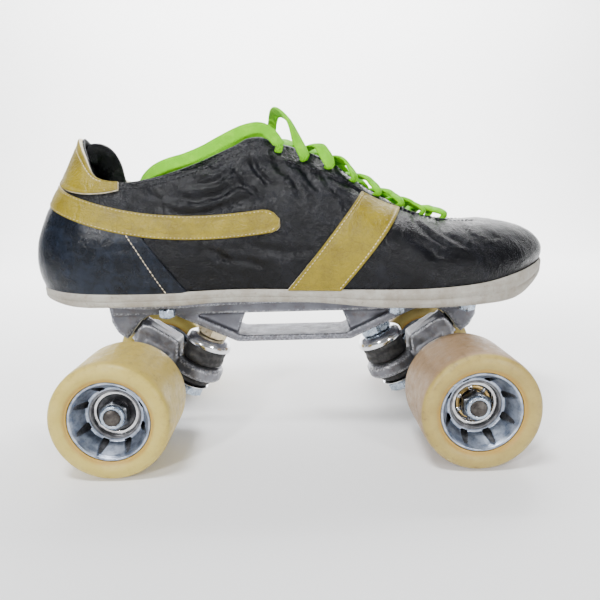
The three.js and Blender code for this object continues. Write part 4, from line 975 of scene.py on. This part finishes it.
def add_axle(end, way):
    middle = (AXLE_X * way, 0, WHEEL_R)
    pile = Pile()
    for side in (1, -1):
        points, faces = threaded_rod(AXLE_R - 0.05, 44.0, AXLE_TIP - 0.15, 1.0, 40)
        pile.add(frame_at(points, (0, side, 0), middle), faces)
    outline = [(0, -45), (AXLE_R - 0.02, -45), (AXLE_R - 0.02, 45), (0, 45)]
    points, faces = lathe(outline, 40, False)
    pile.add(frame_at(points, (0, 1, 0), middle), faces)
    link(f"{end}_threaded_axle", sharpen(pile.mesh("axle"), 60), f"{end}_truck", f"{end}_axle",
         slot="plain_steel", material=LOOKS["dark_axle_steel"])
    for side_name, side in SIDES.items():
        link(f"{end}_{side_name}_lock_nut", lock_nut_mesh((0, side, 0), middle), f"{end}_truck",
             f"{end}_axle_nut_{side_name}", slot="zinc_steel")


def lock_nut_mesh(along, middle):
    """A hexagon nut in painted shade, with a bright collar of plain zinc on its outer face."""
    pile = Pile()
    points, faces = hexagon(13, 4.6, AXLE_R + 0.15, 0.7)
    pile.add(frame_at(points + [0, 0, NUT_LEVEL], along, middle), faces)
    collar_from = len(pile.faces)
    collar = fillet([(AXLE_R + 0.1, 0), (6.0, 0), (5.9, 1.3), (5.3, 1.9), (AXLE_R + 0.1, 1.9)], 0.4)
    points, faces = lathe(collar, 64)
    pile.add(frame_at(points + [0, 0, COLLAR_LEVEL], along, middle), faces)
    mesh = sharpen(pile.mesh("lock nut"), 28)
    mesh.materials.append(LOOKS["shaded_zinc"])
    mesh.materials.append(LOOKS["zinc"])
    for polygon in list(mesh.polygons)[collar_from:]:
        polygon.material_index = 1
    return mesh


for end, way in ENDS.items():
    add_truck(end, way)


# ---- plate ------------------------------------------------------------------------
remeshed("plate", "cast_truss_plate", "skate", "plate", "cast_aluminium", 0.85, 3)
PLATE_BOLTS = ((-68, 22), (55, 24.5), (94, 21))
PLATE_NUT_LEVEL = 65.6


def plate_bolt_mesh(x, y, low, top):
    """A nut under the plate, the threaded shank and a low head with a round recess."""
    pile = Pile()
    points, faces = hexagon(7.5, 4.7, 2.6, 0.5, 48)
    pile.add(points + [x, y, PLATE_NUT_LEVEL], faces)
    points, faces = threaded_rod(2.35, low + 0.05, top - 0.6, 0.8, 20, 0.4)
    pile.add(points + [x, y, 0], faces)
    head = [(0, top - 1.2), (5.9, top - 1.2), (5.6, top - 0.7), (3.6, top - 0.1), (1.7, top),
            (1.6, top - 0.7), (0, top - 0.7)]
    points, faces = lathe(head, 40, False)
    pile.add(points + [x, y, 0], faces)
    return sharpen(pile.mesh("bolt"), 30)


def add_plate_bolts():
    for side_name, side in SIDES.items():
        for number, (x, y) in enumerate(PLATE_BOLTS, 1):
            node = f"plate_bolt_{side_name}_{number}"
            low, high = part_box(node)
            mesh = plate_bolt_mesh(x, side * y, low.z / MM, high.z / MM)
            link(f"bolt_and_nut_{side_name}_{number}", mesh, "skate", node, slot="zinc_steel",
                 material=LOOKS["zinc"])


add_plate_bolts()


# ---- shoe upper -------------------------------------------------------------------
def wobble(points, size, seed=0.0):
    """Smooth noise from -1 to 1 at each point."""
    return np.array([noise.noise(Vector(p) / size + Vector((seed, seed * 1.7, -seed))) for p in points])


# Creases of worn leather on one side of the shoe: (x, z) points from end to end in
# millimetres, then depth and width. The first set is the outer side's.
CREASES = {
    -1: [
        ([(-66, 133), (-52, 128), (-38, 129.5), (-26, 135), (-16, 136)], 1.6, 2.6),
        ([(-72, 127), (-56, 122), (-40, 122), (-24, 126), (-8, 126)], 1.4, 2.4),
        ([(-50, 138), (-42, 135), (-33, 139), (-28, 146)], 1.2, 2.0),
        ([(-44, 146), (-38, 141), (-30, 147)], 0.9, 1.7),
        ([(-76, 136), (-70, 131), (-62, 127)], 0.8, 1.9),
        ([(-34, 143), (-28, 137), (-20, 131), (-14, 124)], 1.3, 2.2),
        ([(-22, 149), (-15, 141), (-8, 132)], 1.1, 1.9),
        ([(-10, 150), (-4, 141), (3, 132), (6, 124)], 0.75, 2.0),
        ([(2, 146), (9, 137), (17, 129)], 0.7, 1.8),
        ([(14, 141), (21, 132), (28, 126)], 0.6, 1.8),
        ([(-30, 108), (-16, 103), (0, 101), (14, 103)], 1.1, 3.0),
        ([(-46, 104), (-36, 100), (-30, 92)], 1.0, 2.4),
        ([(-40, 101), (-26, 96), (-10, 93)], 0.8, 2.6),
        ([(-96, 101), (-84, 104), (-74, 102)], 0.35, 2.2),
        ([(-12, 122), (-4, 112), (6, 106)], 0.6, 2.4),
        ([(62, 122), (64, 114), (70, 106), (79, 100)], 0.9, 2.2),
        ([(74, 118), (77, 111), (84, 104), (92, 99)], 0.8, 2.0),
        ([(86, 115), (89, 109), (96, 103)], 0.6, 1.8),
        ([(56, 110), (64, 102), (74, 95)], 0.6, 2.2),
        ([(96, 113), (101, 107), (108, 102)], 0.35, 1.8),
    ],
    1: [
        ([(-64, 131), (-50, 126), (-34, 128), (-22, 136)], 1.0, 2.6),
        ([(-72, 125), (-54, 120), (-38, 121)], 0.8, 2.4),
        ([(-30, 144), (-22, 136), (-14, 128)], 0.9, 2.2),
        ([(-8, 149), (-1, 139), (6, 130)], 0.7, 2.0),
        ([(8, 143), (16, 134), (24, 127)], 0.7, 1.8),
        ([(-34, 106), (-18, 101), (2, 100)], 0.7, 3.0),
        ([(64, 120), (67, 112), (75, 104)], 0.9, 2.2),
        ([(77, 117), (81, 110), (89, 103)], 0.8, 2.0),
        ([(90, 113), (94, 107), (100, 102)], 0.5, 1.8),
        ([(54, 108), (64, 100), (76, 95)], 0.6, 2.2),
    ],
}


def crease_depth(points):
    """How far the creases sink each point, in millimetres."""
    sunk = np.zeros(len(points))
    bend = wobble(points, 9.0, 3.0) * 1.6
    for side, strokes in CREASES.items():
        ours = smooth((side * (points[:, 1] - lean(points[:, 0])) - 2) / 8)
        for line, depth, width in strokes:
            fine = spline(np.array([(x, 0, z) for x, z in line], float), 40)
            flat = np.stack([points[:, 0] + bend, points[:, 2] + bend], 1)
            gap = np.linalg.norm(flat[:, None] - fine[None][:, :, [0, 2]], axis=2)
            nearest = gap.argmin(1)
            along = nearest / 39
            fade = smooth(np.minimum(along, 1 - along) * 3.2)
            d = gap.min(1) / width
            sunk += ours * fade * depth * (np.exp(-d * d * 2.2) - 0.45 * np.exp(-((d - 1.5) ** 2) * 2.0))
    return sunk


def leather_relief(points, t):
    """Height of the worn leather over the plain skin: creases, soft dents and pull at the lacing."""
    relief = -crease_depth(points)
    relief += wobble(points, 17, 1.0) * 0.55 + wobble(points, 7, 5.0) * 0.20
    eyestay = smooth((points[:, 0] + 27) / 6) * smooth((68 - points[:, 0]) / 5)
    relief += eyestay * (0.75 * smooth((t - 0.815) / 0.03) - 0.5 * np.exp(-((t - 0.808) / 0.014) ** 2))
    near_lace = smooth((t - 0.62) / 0.25) * smooth((points[:, 0] + 30) / 20)
    relief += near_lace * wobble(points * (1, 0.6, 0.6), 4.5, 9.0) * 0.38
    return relief * smooth(t / 0.06)


def collar_round(level, thick):
    """Offset of the outer face near the topline, so that the edge is rounded over."""
    d = np.clip((1 - level) / 0.028, 0, 1)
    return -thick * 0.5 * (1 - np.sqrt(1 - (1 - d) ** 2))


def upper_mesh():
    around, up = 528, 74
    s = np.arange(around) * 2 * SPAN / around
    levels = np.concatenate([np.linspace(0, 0.965, up - 8, endpoint=False), np.linspace(0.965, 1.0, 8)])
    grid_s, grid_t = np.meshgrid(s, levels)
    flat_s, flat_t = grid_s.ravel(), grid_t.ravel()
    base, normals = skin(flat_s, flat_t), skin_normal(flat_s, flat_t)
    relief = leather_relief(base, flat_t)
    outer = base + normals * (relief + collar_round(flat_t, LEATHER))[:, None]
    inner_levels = levels[::-3]
    grid_s, grid_t = np.meshgrid(s, inner_levels)
    flat_s, flat_t = grid_s.ravel(), grid_t.ravel()
    under = np.maximum(-LEATHER - collar_round(flat_t, LEATHER), -LEATHER)
    inner = offset(flat_s, flat_t, under)
    points = np.concatenate([outer, inner])
    rows = len(levels) + len(inner_levels)
    mesh = mesh_of("upper", points, quads(rows, around, True, True))
    mesh.materials.append(LOOKS["leather"])
    mesh.materials.append(LOOKS["lining"])
    first_inner = len(levels) * around
    mesh.update()
    for polygon in mesh.polygons:
        if all(i >= first_inner for i in polygon.vertices):
            polygon.material_index = 1
    return mesh


link("leather_upper", upper_mesh(), "skate", "upper", slot="black_leather")


RIM_ROUND = 0.9


def patch(name, node, places, thick, look, rim_look, slot, relief):
    """A panel of leather on the upper, over a grid of (s, t); its rim is cut square and rounded over."""
    rows, columns = places.shape[:2]
    s, t = places[..., 0].ravel(), places[..., 1].ravel()
    base, normals = skin(s, t), skin_normal(s, t)
    grid = base.reshape(rows, columns, 3)
    run_r = np.concatenate([[0], np.cumsum(np.linalg.norm(np.diff(grid, axis=0), axis=2).mean(1))])
    run_c = np.concatenate([[0], np.cumsum(np.linalg.norm(np.diff(grid, axis=1), axis=2).mean(0))])
    from_r = np.minimum(run_r, run_r[-1] - run_r)
    from_c = np.minimum(run_c, run_c[-1] - run_c)
    d = np.minimum(from_r[:, None], from_c[None]).ravel()
    rounded = thick * (0.62 + 0.38 * np.sqrt(1 - (1 - np.clip(d / RIM_ROUND, 0, 1)) ** 2))
    pulled = -0.28 * np.exp(-((d - 2.3) / 0.8) ** 2)
    height = 0.45 + rounded + pulled + leather_relief(base, t) * relief
    over = base + normals * height[:, None]
    under = base + normals * -1.6
    upside, sides, underside = closed_sheet(rows, columns)
    mesh = mesh_of(name, np.concatenate([over, under]), upside + sides + underside)
    mesh.materials.append(LOOKS[look])
    mesh.materials.append(LOOKS[rim_look])
    link(name, mesh, "skate", node, slot=slot)
    for polygon in list(mesh.polygons)[len(upside):len(upside) + len(sides)]:
        polygon.material_index = 1
    mesh.set_sharp_from_angle(angle=math.radians(50))


def even_grid(rows, columns, place):
    u, v = np.meshgrid(ease(rows), ease(columns), indexing="ij")
    return np.stack(place(u, v), 2)


def ease(count, border=0.035):
    """Values from 0 to 1 with a few close together at both ends."""
    ends = np.array([0, 0.25, 0.55, 1.0]) * border
    return np.concatenate([ends, np.linspace(border, 1 - border, count - 6)[1:-1], 1 - ends[::-1]])


def band_middle(x):
    return 113.6 + 0.0023 * (x + 48) ** 2 - 0.0000075 * (x + 48) ** 3


BAND_HALF = 5.9
BAND_TIP_X = -6
BAND_TAPER = 5.1  # column number from which the band narrows to its tip
TAB_END_X = -87


def band_end():
    """The column number of the band's tip."""
    return float(solve(lambda s: skin(s, 0.45)[..., 0] - BAND_TIP_X, 3.0, 8.0))


def band_places():
    end = band_end()

    def place(u, v):
        s = end * (2 * u - 1)
        along = np.clip((np.abs(s) - BAND_TAPER) / (end - BAND_TAPER), 0, 1)
        spread = BAND_HALF * np.sqrt(np.maximum(0.004, 1 - along ** 2.2))
        low = level_at(s, lambda x: band_middle(x) - spread)
        high = level_at(s, lambda x: band_middle(x) + spread)
        return s, low + (high - low) * v

    return even_grid(250, 20, place)


def tab_rise(x):
    return 0.4 + 9 * np.maximum(0, (x + 130) / 43) ** 2.2


def tab_places():
    end = float(solve(lambda s: skin(s, 0.97)[..., 0] - TAB_END_X, 1.5, 4.0))

    def place(u, v):
        s = end * (2 * u - 1)
        low = level_at(s, lambda x: band_middle(x) + BAND_HALF + tab_rise(x))
        return s, low + (0.992 - low) * v

    return even_grid(90, 44, place)


def counter_places():
    def place(u, v):
        def level(s):
            return 0.004 + v * (level_at(s, lambda x: band_middle(x) - BAND_HALF + 1.5) - 0.004)

        def seam(s):
            p = skin(s, level(s))
            return p[..., 0] - (-54 + (p[..., 2] - 80) / 30 * -22)

        end = solve(seam, np.full(u.shape, 1.5), np.full(u.shape, 5.0), 22)
        s = end * (2 * u - 1)
        return s, level(s)

    return even_grid(150, 34, place)


STRAP_FOOT_X, STRAP_WIDTH, STRAP_SLANT, STRAP_TOP_T = -3, 27, 0.8, 0.79


def strap_places(side):
    def place(u, v):
        t = 0.004 + (STRAP_TOP_T - 0.004) * u

        def edge(start):
            def gap(s):
                p = skin(s, t)
                return p[..., 0] - (start + (p[..., 2] - 81) * STRAP_SLANT)
            return solve(gap, np.full(t.shape, 3.0), np.full(t.shape, 11.0), 22)

        low, high = edge(STRAP_FOOT_X), edge(STRAP_FOOT_X + STRAP_WIDTH)
        return -side * (low + (high - low) * v), t

    return even_grid(64, 40, place)


FINE_THREAD = {"length": 1.5, "pitch": 2.0, "width": 0.45}
COARSE_THREAD = {"length": 1.7, "pitch": 2.1, "width": 0.6}
DARK_THREAD = {"length": 1.8, "pitch": 2.5, "width": 0.5}
STITCH_RISE = 0.12


def stitches(pile, line, normals, length, pitch, width):
    """Short thread humps along a path of points, each sinking at both ends."""
    run = np.concatenate([[0], np.cumsum(np.linalg.norm(np.diff(line, axis=0), axis=1))])
    bead = []
    for a in np.linspace(0, math.pi, 9):
        bead.append([(math.cos(a), math.sin(a) * math.cos(b), math.sin(a) * math.sin(b))
                     for b in np.arange(6) * math.pi / 3])
    bead = np.array(bead).reshape(-1, 3)
    faces = quads(9, 6, False, True)
    for start in np.arange(pitch * 0.5, run[-1] - length * 0.5, pitch):
        at = np.array([np.interp(start, run, line[:, k]) for k in range(3)])
        ahead = np.array([np.interp(min(start + 0.5, run[-1]), run, line[:, k]) for k in range(3)])
        behind = np.array([np.interp(max(start - 0.5, 0), run, line[:, k]) for k in range(3)])
        n = np.array([np.interp(start, run, normals[:, k]) for k in range(3)])
        x = ahead - behind
        x /= np.linalg.norm(x)
        n -= n @ x * x
        n /= np.linalg.norm(n)
        y = np.cross(n, x)
        curve = bead[:, :1] * x * length / 2 + bead[:, 1:2] * y * width / 2 + bead[:, 2:] * n * width / 2
        pile.add(at + n * (STITCH_RISE - 0.10 * bead[:, :1] ** 2) + curve, faces)


def seam_line(s, t, height, relief=1.0):
    """Points and normals of a seam this high over the worn leather."""
    base, normals = skin(s, t), skin_normal(s, t)
    return base + normals * (height + leather_relief(base, t) * relief)[:, None], normals


patch("heel_counter_panel", "heel_counter", counter_places(), 0.9, "counter", "counter",
      "counter_leather", 0.5)
patch("gold_heel_band", "heel_band", band_places(), 1.4, "gold", "edge", "gold_leather", 0.7)
patch("gold_heel_tab", "heel_tab", tab_places(), 1.4, "gold", "edge", "gold_leather", 0.7)
for side_name, side in SIDES.items():
    patch(f"gold_saddle_strap_{side_name}", f"saddle_strap_{side_name}", strap_places(side), 1.4, "gold",
          "edge", "gold_leather", 0.8)


def sew_band(pile):
    end = band_end()
    s = np.linspace(-end + 0.16, end - 0.16, 500)
    along = np.clip((np.abs(s) - 5.0) / (end - BAND_TAPER), 0, 1)
    spread = (BAND_HALF - 0.85) * np.sqrt(np.maximum(0.01, 1 - along ** 2.2))
    for way in (-1, 1):
        t = level_at(s, lambda x: band_middle(x) + way * spread)
        stitches(pile, *seam_line(s, t, 1.5, 0.7), **FINE_THREAD)


def sew_straps(pile):
    fine = np.linspace(0, 1, 160)
    for side in (1, -1):
        places = strap_places(-side)
        for column in (4, -5):
            line = places[2:-3, column]
            rough = np.linspace(0, 1, len(line))
            s, t = (np.interp(fine, rough, line[:, k]) for k in (0, 1))
            stitches(pile, *seam_line(s, t, 1.55, 0.8), **FINE_THREAD)


def sew_heel(pile):
    """Two seams on the counter's ends, and three on the tab."""
    counter, tab = counter_places(), tab_places()
    for row in (3, -4):
        stitches(pile, *seam_line(*counter[row, 1:-2].T, 1.2, 0.5), **COARSE_THREAD)
    for line in (tab[5, 5:-4], tab[-6, 5:-4], tab[7:-7, -9]):
        stitches(pile, *seam_line(*line.T, 1.5, 0.7), **FINE_THREAD)


def sew_upper(pile):
    """The collar's and the lacing panel's seams."""
    runs = ((0.972, 6.4, SPAN - 0.35), (0.835, 6.7, SPAN - 0.75), (0.962, 2.2, 6.3), (0.915, 2.3, 6.2))
    for side in (1, -1):
        for t, low, high in runs:
            s = side * np.linspace(low, high, 260)
            stitches(pile, *seam_line(s, np.full(260, t), 0.05), **DARK_THREAD)
        t = np.linspace(0.835, 0.99, 40)
        stitches(pile, *seam_line(np.full(40, side * (SPAN - 0.75)), t, 0.05), **DARK_THREAD)


def add_stitching():
    cream, dark = Pile(), Pile()
    sew_band(cream)
    sew_straps(cream)
    sew_heel(cream)
    sew_upper(dark)
    link("cream_stitching", cream.mesh("cream stitching"), "skate", slot="gold_leather",
         material=LOOKS["thread"])
    link("black_stitching", dark.mesh("black stitching"), "skate", slot="black_leather",
         material=LOOKS["dark_thread"])


add_stitching()


# ---- sole, insole and tongue ------------------------------------------------------
SOLE_BOTTOM = 75.0


def sole_bottom(x):
    toe = 11 * np.maximum(0, (x - 112) / 32) ** 1.7
    return SOLE_BOTTOM + toe + 3.4 * np.maximum(0, (-104 - x) / 34) ** 1.6


def sole_droop(x):
    """How far the sole's rim hangs below its seat on the plate."""
    fore = 2.6 * smooth((x - 5) / 45) * smooth((142 - x) / 40)
    return fore + 1.5 * smooth((-35 - x) / 30) * smooth((x + 132) / 20)


def edge_ring(count):
    """The sole's edge line and its outward direction in plan."""
    s = np.arange(count) * 2 * SPAN / count
    p = ring_points(s)[:, 0]
    ahead = ring_points(s + 0.03)[:, 0] - ring_points(s - 0.03)[:, 0]
    out = np.stack([ahead[:, 1], -ahead[:, 0], np.zeros(count)], 1)
    out /= np.linalg.norm(out, axis=1)[:, None]
    if ((p - p.mean(0)) * out).sum() < 0:
        out = -out
    return p, out


def ring_slab(pile, rows):
    """A slab from closed rings; both ends are closed by strips across the shoe."""
    count = len(rows[0])
    faces = quads(len(rows), count, False, True)
    for base in (0, (len(rows) - 1) * count):
        for i in range(count // 2):
            a, b = i, (i + 1) % count
            c, d = (count - i) % count, (count - i - 1) % count
            faces.append(tuple(dict.fromkeys((base + a, base + b, base + d, base + c))))
    pile.add(np.concatenate(rows), [f for f in faces if len(f) > 2])


def outsole_mesh():
    edge, out = edge_ring(480)
    low = sole_bottom(edge[:, 0])
    droop = sole_droop(edge[:, 0])
    top = edge[:, 2]
    rows = []
    for grow, share, extra in (
        (-3.0, 0, 0.0), (0.2, 0, 0.0), (1.0, 0, 0.25), (1.45, 0, 0.8), (1.6, 0.25, 0.3), (1.62, 0.40, 0),
        (1.38, 0.44, 0), (1.36, 0.50, 0), (1.66, 0.54, 0), (1.78, 0.72, 0), (1.72, 0.88, 0), (1.5, 1.0, 0.2),
        (1.1, 1.0, 0.75), (0.7, 1.0, 0.8), (0.3, 1.0, 0.3), (-1.0, 1.0, -0.35), (-3.0, 1.0, -0.35),
    ):
        rough = wobble(edge, 2.2, share * 9) * (0.05 if grow > 0 else 0)
        row = edge + out * (grow + rough)[:, None]
        row[:, 2] = low + (top - low) * share + extra - droop * smooth((grow + 3) / 3.5) * (1 - share)
        rows.append(row)
    pile = Pile()
    ring_slab(pile, rows)
    return sharpen(pile.mesh("outsole"), 40)


def insole_mesh():
    edge, out = edge_ring(240)
    rows = []
    for grow, rise in ((-3.3, 0.25), (-3.2, 1.2), (-3.3, 2.7), (-3.9, 3.05), (-6, 2.9), (-10, 2.75)):
        row = edge + out * grow
        row[:, 2] = edge[:, 2] + rise
        rows.append(row)
    pile = Pile()
    ring_slab(pile, rows)
    return pile.mesh("insole")


TOPLINE = ring_points(np.linspace(6, SPAN, 200))[:, 3]
COLLAR_FRONT_X = -17.5


def topline_at(x):
    order = np.argsort(TOPLINE[:, 0])
    p = TOPLINE[order]
    return np.interp(x, p[:, 0], np.abs(p[:, 1] - lean(p[:, 0]))), np.interp(x, p[:, 0], p[:, 2])


def tongue_mesh():
    x = np.concatenate([np.linspace(-22.3, 84, 120), np.linspace(85, 102.5, 16)])
    half, z = topline_at(np.clip(x, COLLAR_FRONT_X, 80))
    half = half + np.where(x < COLLAR_FRONT_X, -2, 0.6) - 2.5 * smooth((-19.8 - x) / 2.5)
    under_vamp = skin(float(SPAN), np.linspace(0.4, 1, 200))
    order = np.argsort(under_vamp[:, 0])
    lining_z = np.interp(x, under_vamp[order, 0], under_vamp[order, 2]) - LEATHER - 3.4
    middle = z - 4.4 + np.maximum(0, COLLAR_FRONT_X - x)
    middle = np.where(x > 78, middle + (lining_z - middle) * smooth((x - 78) / 9), middle)
    across = np.linspace(-1, 1, 31)
    y = half[:, None] * across[None]
    top = middle[:, None] - 4.6 * np.abs(across[None]) ** 2.4
    pinch = 0.35 * np.cos((x[:, None] + 6) / 12.3 * 2 * math.pi) * (1 - across[None] ** 2)
    place = np.stack([np.repeat(x[:, None], 31, 1), y + lean(x)[:, None], top + pinch], 2).reshape(-1, 3)
    place[:, 2] += wobble(place, 5, 2.0) * 0.3
    below = place - (0, 0, 2.2)
    rounded = np.repeat(((np.abs(across) > 0.93) * 0.55)[None], len(x), 0).ravel()
    place[:, 2] -= rounded
    below[:, 2] += rounded
    upside, sides, underside = closed_sheet(len(x), 31)
    return mesh_of("tongue", np.concatenate([place, below]), upside + sides + underside)


link("layered_outsole", outsole_mesh(), "skate", "outsole", slot="sole_rubber", material=LOOKS["sole"])
link("leather_insole", insole_mesh(), "skate", "insole", slot="insole_leather", material=LOOKS["insole"])
link("leather_tongue", tongue_mesh(), "skate", "tongue", slot="black_leather", material=LOOKS["leather"])


# ---- heel lining ------------------------------------------------------------------
def add_heel_pad():
    """The padded lining that has worked its way up inside the heel, on the inner side."""
    outward = (-0.35, 0.85, 0.2)
    places = [(-111, 1, 151), (-108.5, 5, 153), (-105.5, 9, 151.5), (-103.5, 12, 146.5), (-101.5, 15, 139),
              (-97, 17.5, 131)]
    made = spline(np.array([[*p, *outward] for p in places]), 48)
    swell = np.sin(np.linspace(0.12, 1, 48) * math.pi * 0.97) ** 0.5
    pile = Pile()
    pile.add(*tube(made[:, :3], made[:, 3:], 14.5 * swell, 5.0 * swell, 36, 2.3))
    link("heel_lining_pad", pile.mesh("heel pad"), "skate", slot="black_leather", material=LOOKS["leather"])


add_heel_pad()


# ---- threaded lace ----------------------------------------------------------------
LACE_WIDTH, LACE_THICKNESS = 6.2, 2.3


def lace_crossing(pile, start, goal, arch, seed):
    """Up through one eyelet, over the gap and under the other edge to the next eyelet."""
    up = np.array([0.45, 0, 0.9])
    loose = np.array(ARCH)
    edge = offset(start["s"], 1, OUTSIDE + 1.3)
    under = offset(goal["s"], 0.985, INSIDE + 0.3)
    middle = edge + (under - edge) * 0.45 + loose * arch
    n, m = start["normal"], goal["normal"]
    toward = offset(start["s"], 0.955, 0) - start["point"]
    toward /= np.linalg.norm(toward)
    stations = [
        (start["point"] + n * INSIDE, n, 3.4),
        (start["point"] + n * 0.2 - toward * 0.7, n - toward, 4.0),
        (start["point"] + n * (OUTSIDE + 1.0) - toward * 1.9, n * 0.7 - toward * 0.7, 5.6),
        (start["point"] + n * (OUTSIDE + 2.5) + toward * 1.2, n, LACE_WIDTH + 0.4),
        (offset(start["s"], 0.965, OUTSIDE + 3.0) + loose * arch * 0.15, n, LACE_WIDTH + 0.4),
        (edge + loose * (arch * 0.6 + 2.4), up + n * 0.3, LACE_WIDTH + 0.5),
        (middle + loose * 1.6, up, LACE_WIDTH + 0.2),
        (under, up, LACE_WIDTH - 0.6),
        (goal["point"] + m * INSIDE, m, 4.0),
    ]
    both = np.array([[*p, *np.asarray(a) / np.linalg.norm(a), w] for p, a, w in stations])
    made = spline(both, 46)
    line, normals, widths = made[:, :3], made[:, 3:6], made[:, 6]
    roll = np.sin(np.linspace(0, math.pi, 46)) * 0.30 * math.sin(seed * 2.4)
    normals = normals + np.cross(np.gradient(line, axis=0), normals) * roll[:, None] * 1.2
    heights = LACE_THICKNESS + 0.25 * np.sin(np.linspace(0, 9, 46) + seed)
    pile.add(*tube(line, normals, widths, heights, 18, 2.8, 0.18))


def add_lace():
    pile = Pile()
    outer, inner = HOLES
    for i in range(EYELETS - 1, 0, -1):
        lace_crossing(pile, outer[i], inner[i - 1], 16 if i == 1 else 1.2, i)
        lace_crossing(pile, inner[i], outer[i - 1], 1.0, i + 0.5)
    for row in HOLES:
        top = row[0]
        line = [top["point"] + top["normal"] * out for out in (INSIDE, -1, 1.2, 2 * OUTSIDE + 1.5)]
        along = skin(top["s"] + 0.05, EYELET_T) - skin(top["s"] - 0.05, EYELET_T)
        thick = np.cross(top["normal"], along)
        made = spline(np.array([[*p, *thick] for p in line]), 12)
        pile.add(*tube(made[:, :3], made[:, 3:], 3.8, 2.2, 16, 2.6))
    a, b = outer[-1], inner[-1]
    front = skin_normal(float(SPAN), 0.965)
    foot = [(a["point"] + a["normal"] * INSIDE, a["normal"]),
            (skin(float(SPAN), 0.965) + front * (INSIDE - 0.2), front),
            (b["point"] + b["normal"] * INSIDE, b["normal"])]
    made = spline(np.array([[*p, *n] for p, n in foot]), 24)
    pile.add(*tube(made[:, :3], made[:, 3:], 4.6, 1.6, 16, 2.8))
    link("threaded_lace", pile.mesh("lace"), "skate", "lace", slot="lace_fabric", material=LOOKS["lace"])


def add_eyelet_rims():
    pile = Pile()
    outline = fillet([(2.0, -0.6), (3.15, -0.6), (3.15, 0.32), (2.0, 0.32)], 0.3, 3)
    for row in HOLES:
        for hole in row:
            points, faces = lathe(outline, 28)
            pile.add(frame_at(points, hole["normal"], hole["point"]), faces)
    link("eyelet_rims", sharpen(pile.mesh("eyelets")), "skate", slot="black_leather",
         material=LOOKS["dark_thread"])


add_lace()
add_eyelet_rims()


# ---- floor and light --------------------------------------------------------------
def add_stage():
    """A pale floor that sweeps up into a wall behind the skate."""
    bend_from, bend_r = 0.7, 0.4
    turn = np.linspace(0, math.pi / 2, 13)[1:]
    profile = [(-1.6, 0), (bend_from, 0)]
    profile += [(bend_from + bend_r * math.sin(a), bend_r - bend_r * math.cos(a)) for a in turn]
    profile += [(1.1, 1.5)]
    points = [(x, y, z - 0.0004) for y, z in profile for x in (-2.2, 2.2)]
    faces = quads(len(profile), 2)
    mesh = bpy.data.meshes.new("floor")
    mesh.from_pydata(points, [], faces)
    mesh.shade_smooth()
    floor = bpy.data.objects.new("floor", mesh)
    bpy.context.scene.collection.objects.link(floor)
    paint = Paint("pale floor", Specular_IOR_Level=0.2)
    color = paint.mix(paint.noise(300, 2), (0.86, 0.86, 0.86), (0.90, 0.90, 0.90))
    mesh.materials.append(paint.finish(color, paint.ramp(paint.noise(50), 0, 1, 0.8, 0.9)))
    world = bpy.data.worlds.new("studio")
    world.use_nodes = True
    world.node_tree.nodes["Background"].inputs[0].default_value = (0.95, 0.97, 1.0, 1)
    world.node_tree.nodes["Background"].inputs[1].default_value = 0.3
    bpy.context.scene.world = world


def add_light(name, at, aim, size, power, color=(1, 1, 1)):
    light = bpy.data.lights.new(name, "AREA")
    light.shape = "RECTANGLE"
    light.size, light.size_y = size
    light.energy = power
    light.color = color
    lamp = bpy.data.objects.new(name, light)
    bpy.context.scene.collection.objects.link(lamp)
    lamp.location = at
    lamp.rotation_euler = (Vector(aim) - Vector(at)).to_track_quat("-Z", "Y").to_euler()


add_stage()
add_light("overhead", (-0.2, -0.35, 0.95), (0, 0, 0.08), (0.3, 0.16), 10, (0.97, 0.98, 1.0))
add_light("front_left", (-0.5, -0.95, 0.5), (0, 0, 0.07), (0.08, 0.08), 8.5)
add_light("front_right", (0.6, -0.9, 0.35), (0, 0, 0.05), (0.08, 0.08), 5.5)
add_light("behind", (0.3, 0.6, 0.8), (0, 0, 0.1), (0.4, 0.3), 5)
add_light("wall", (0, 0.45, 0.85), (0, 1.1, 0.3), (1.6, 0.2), 50)
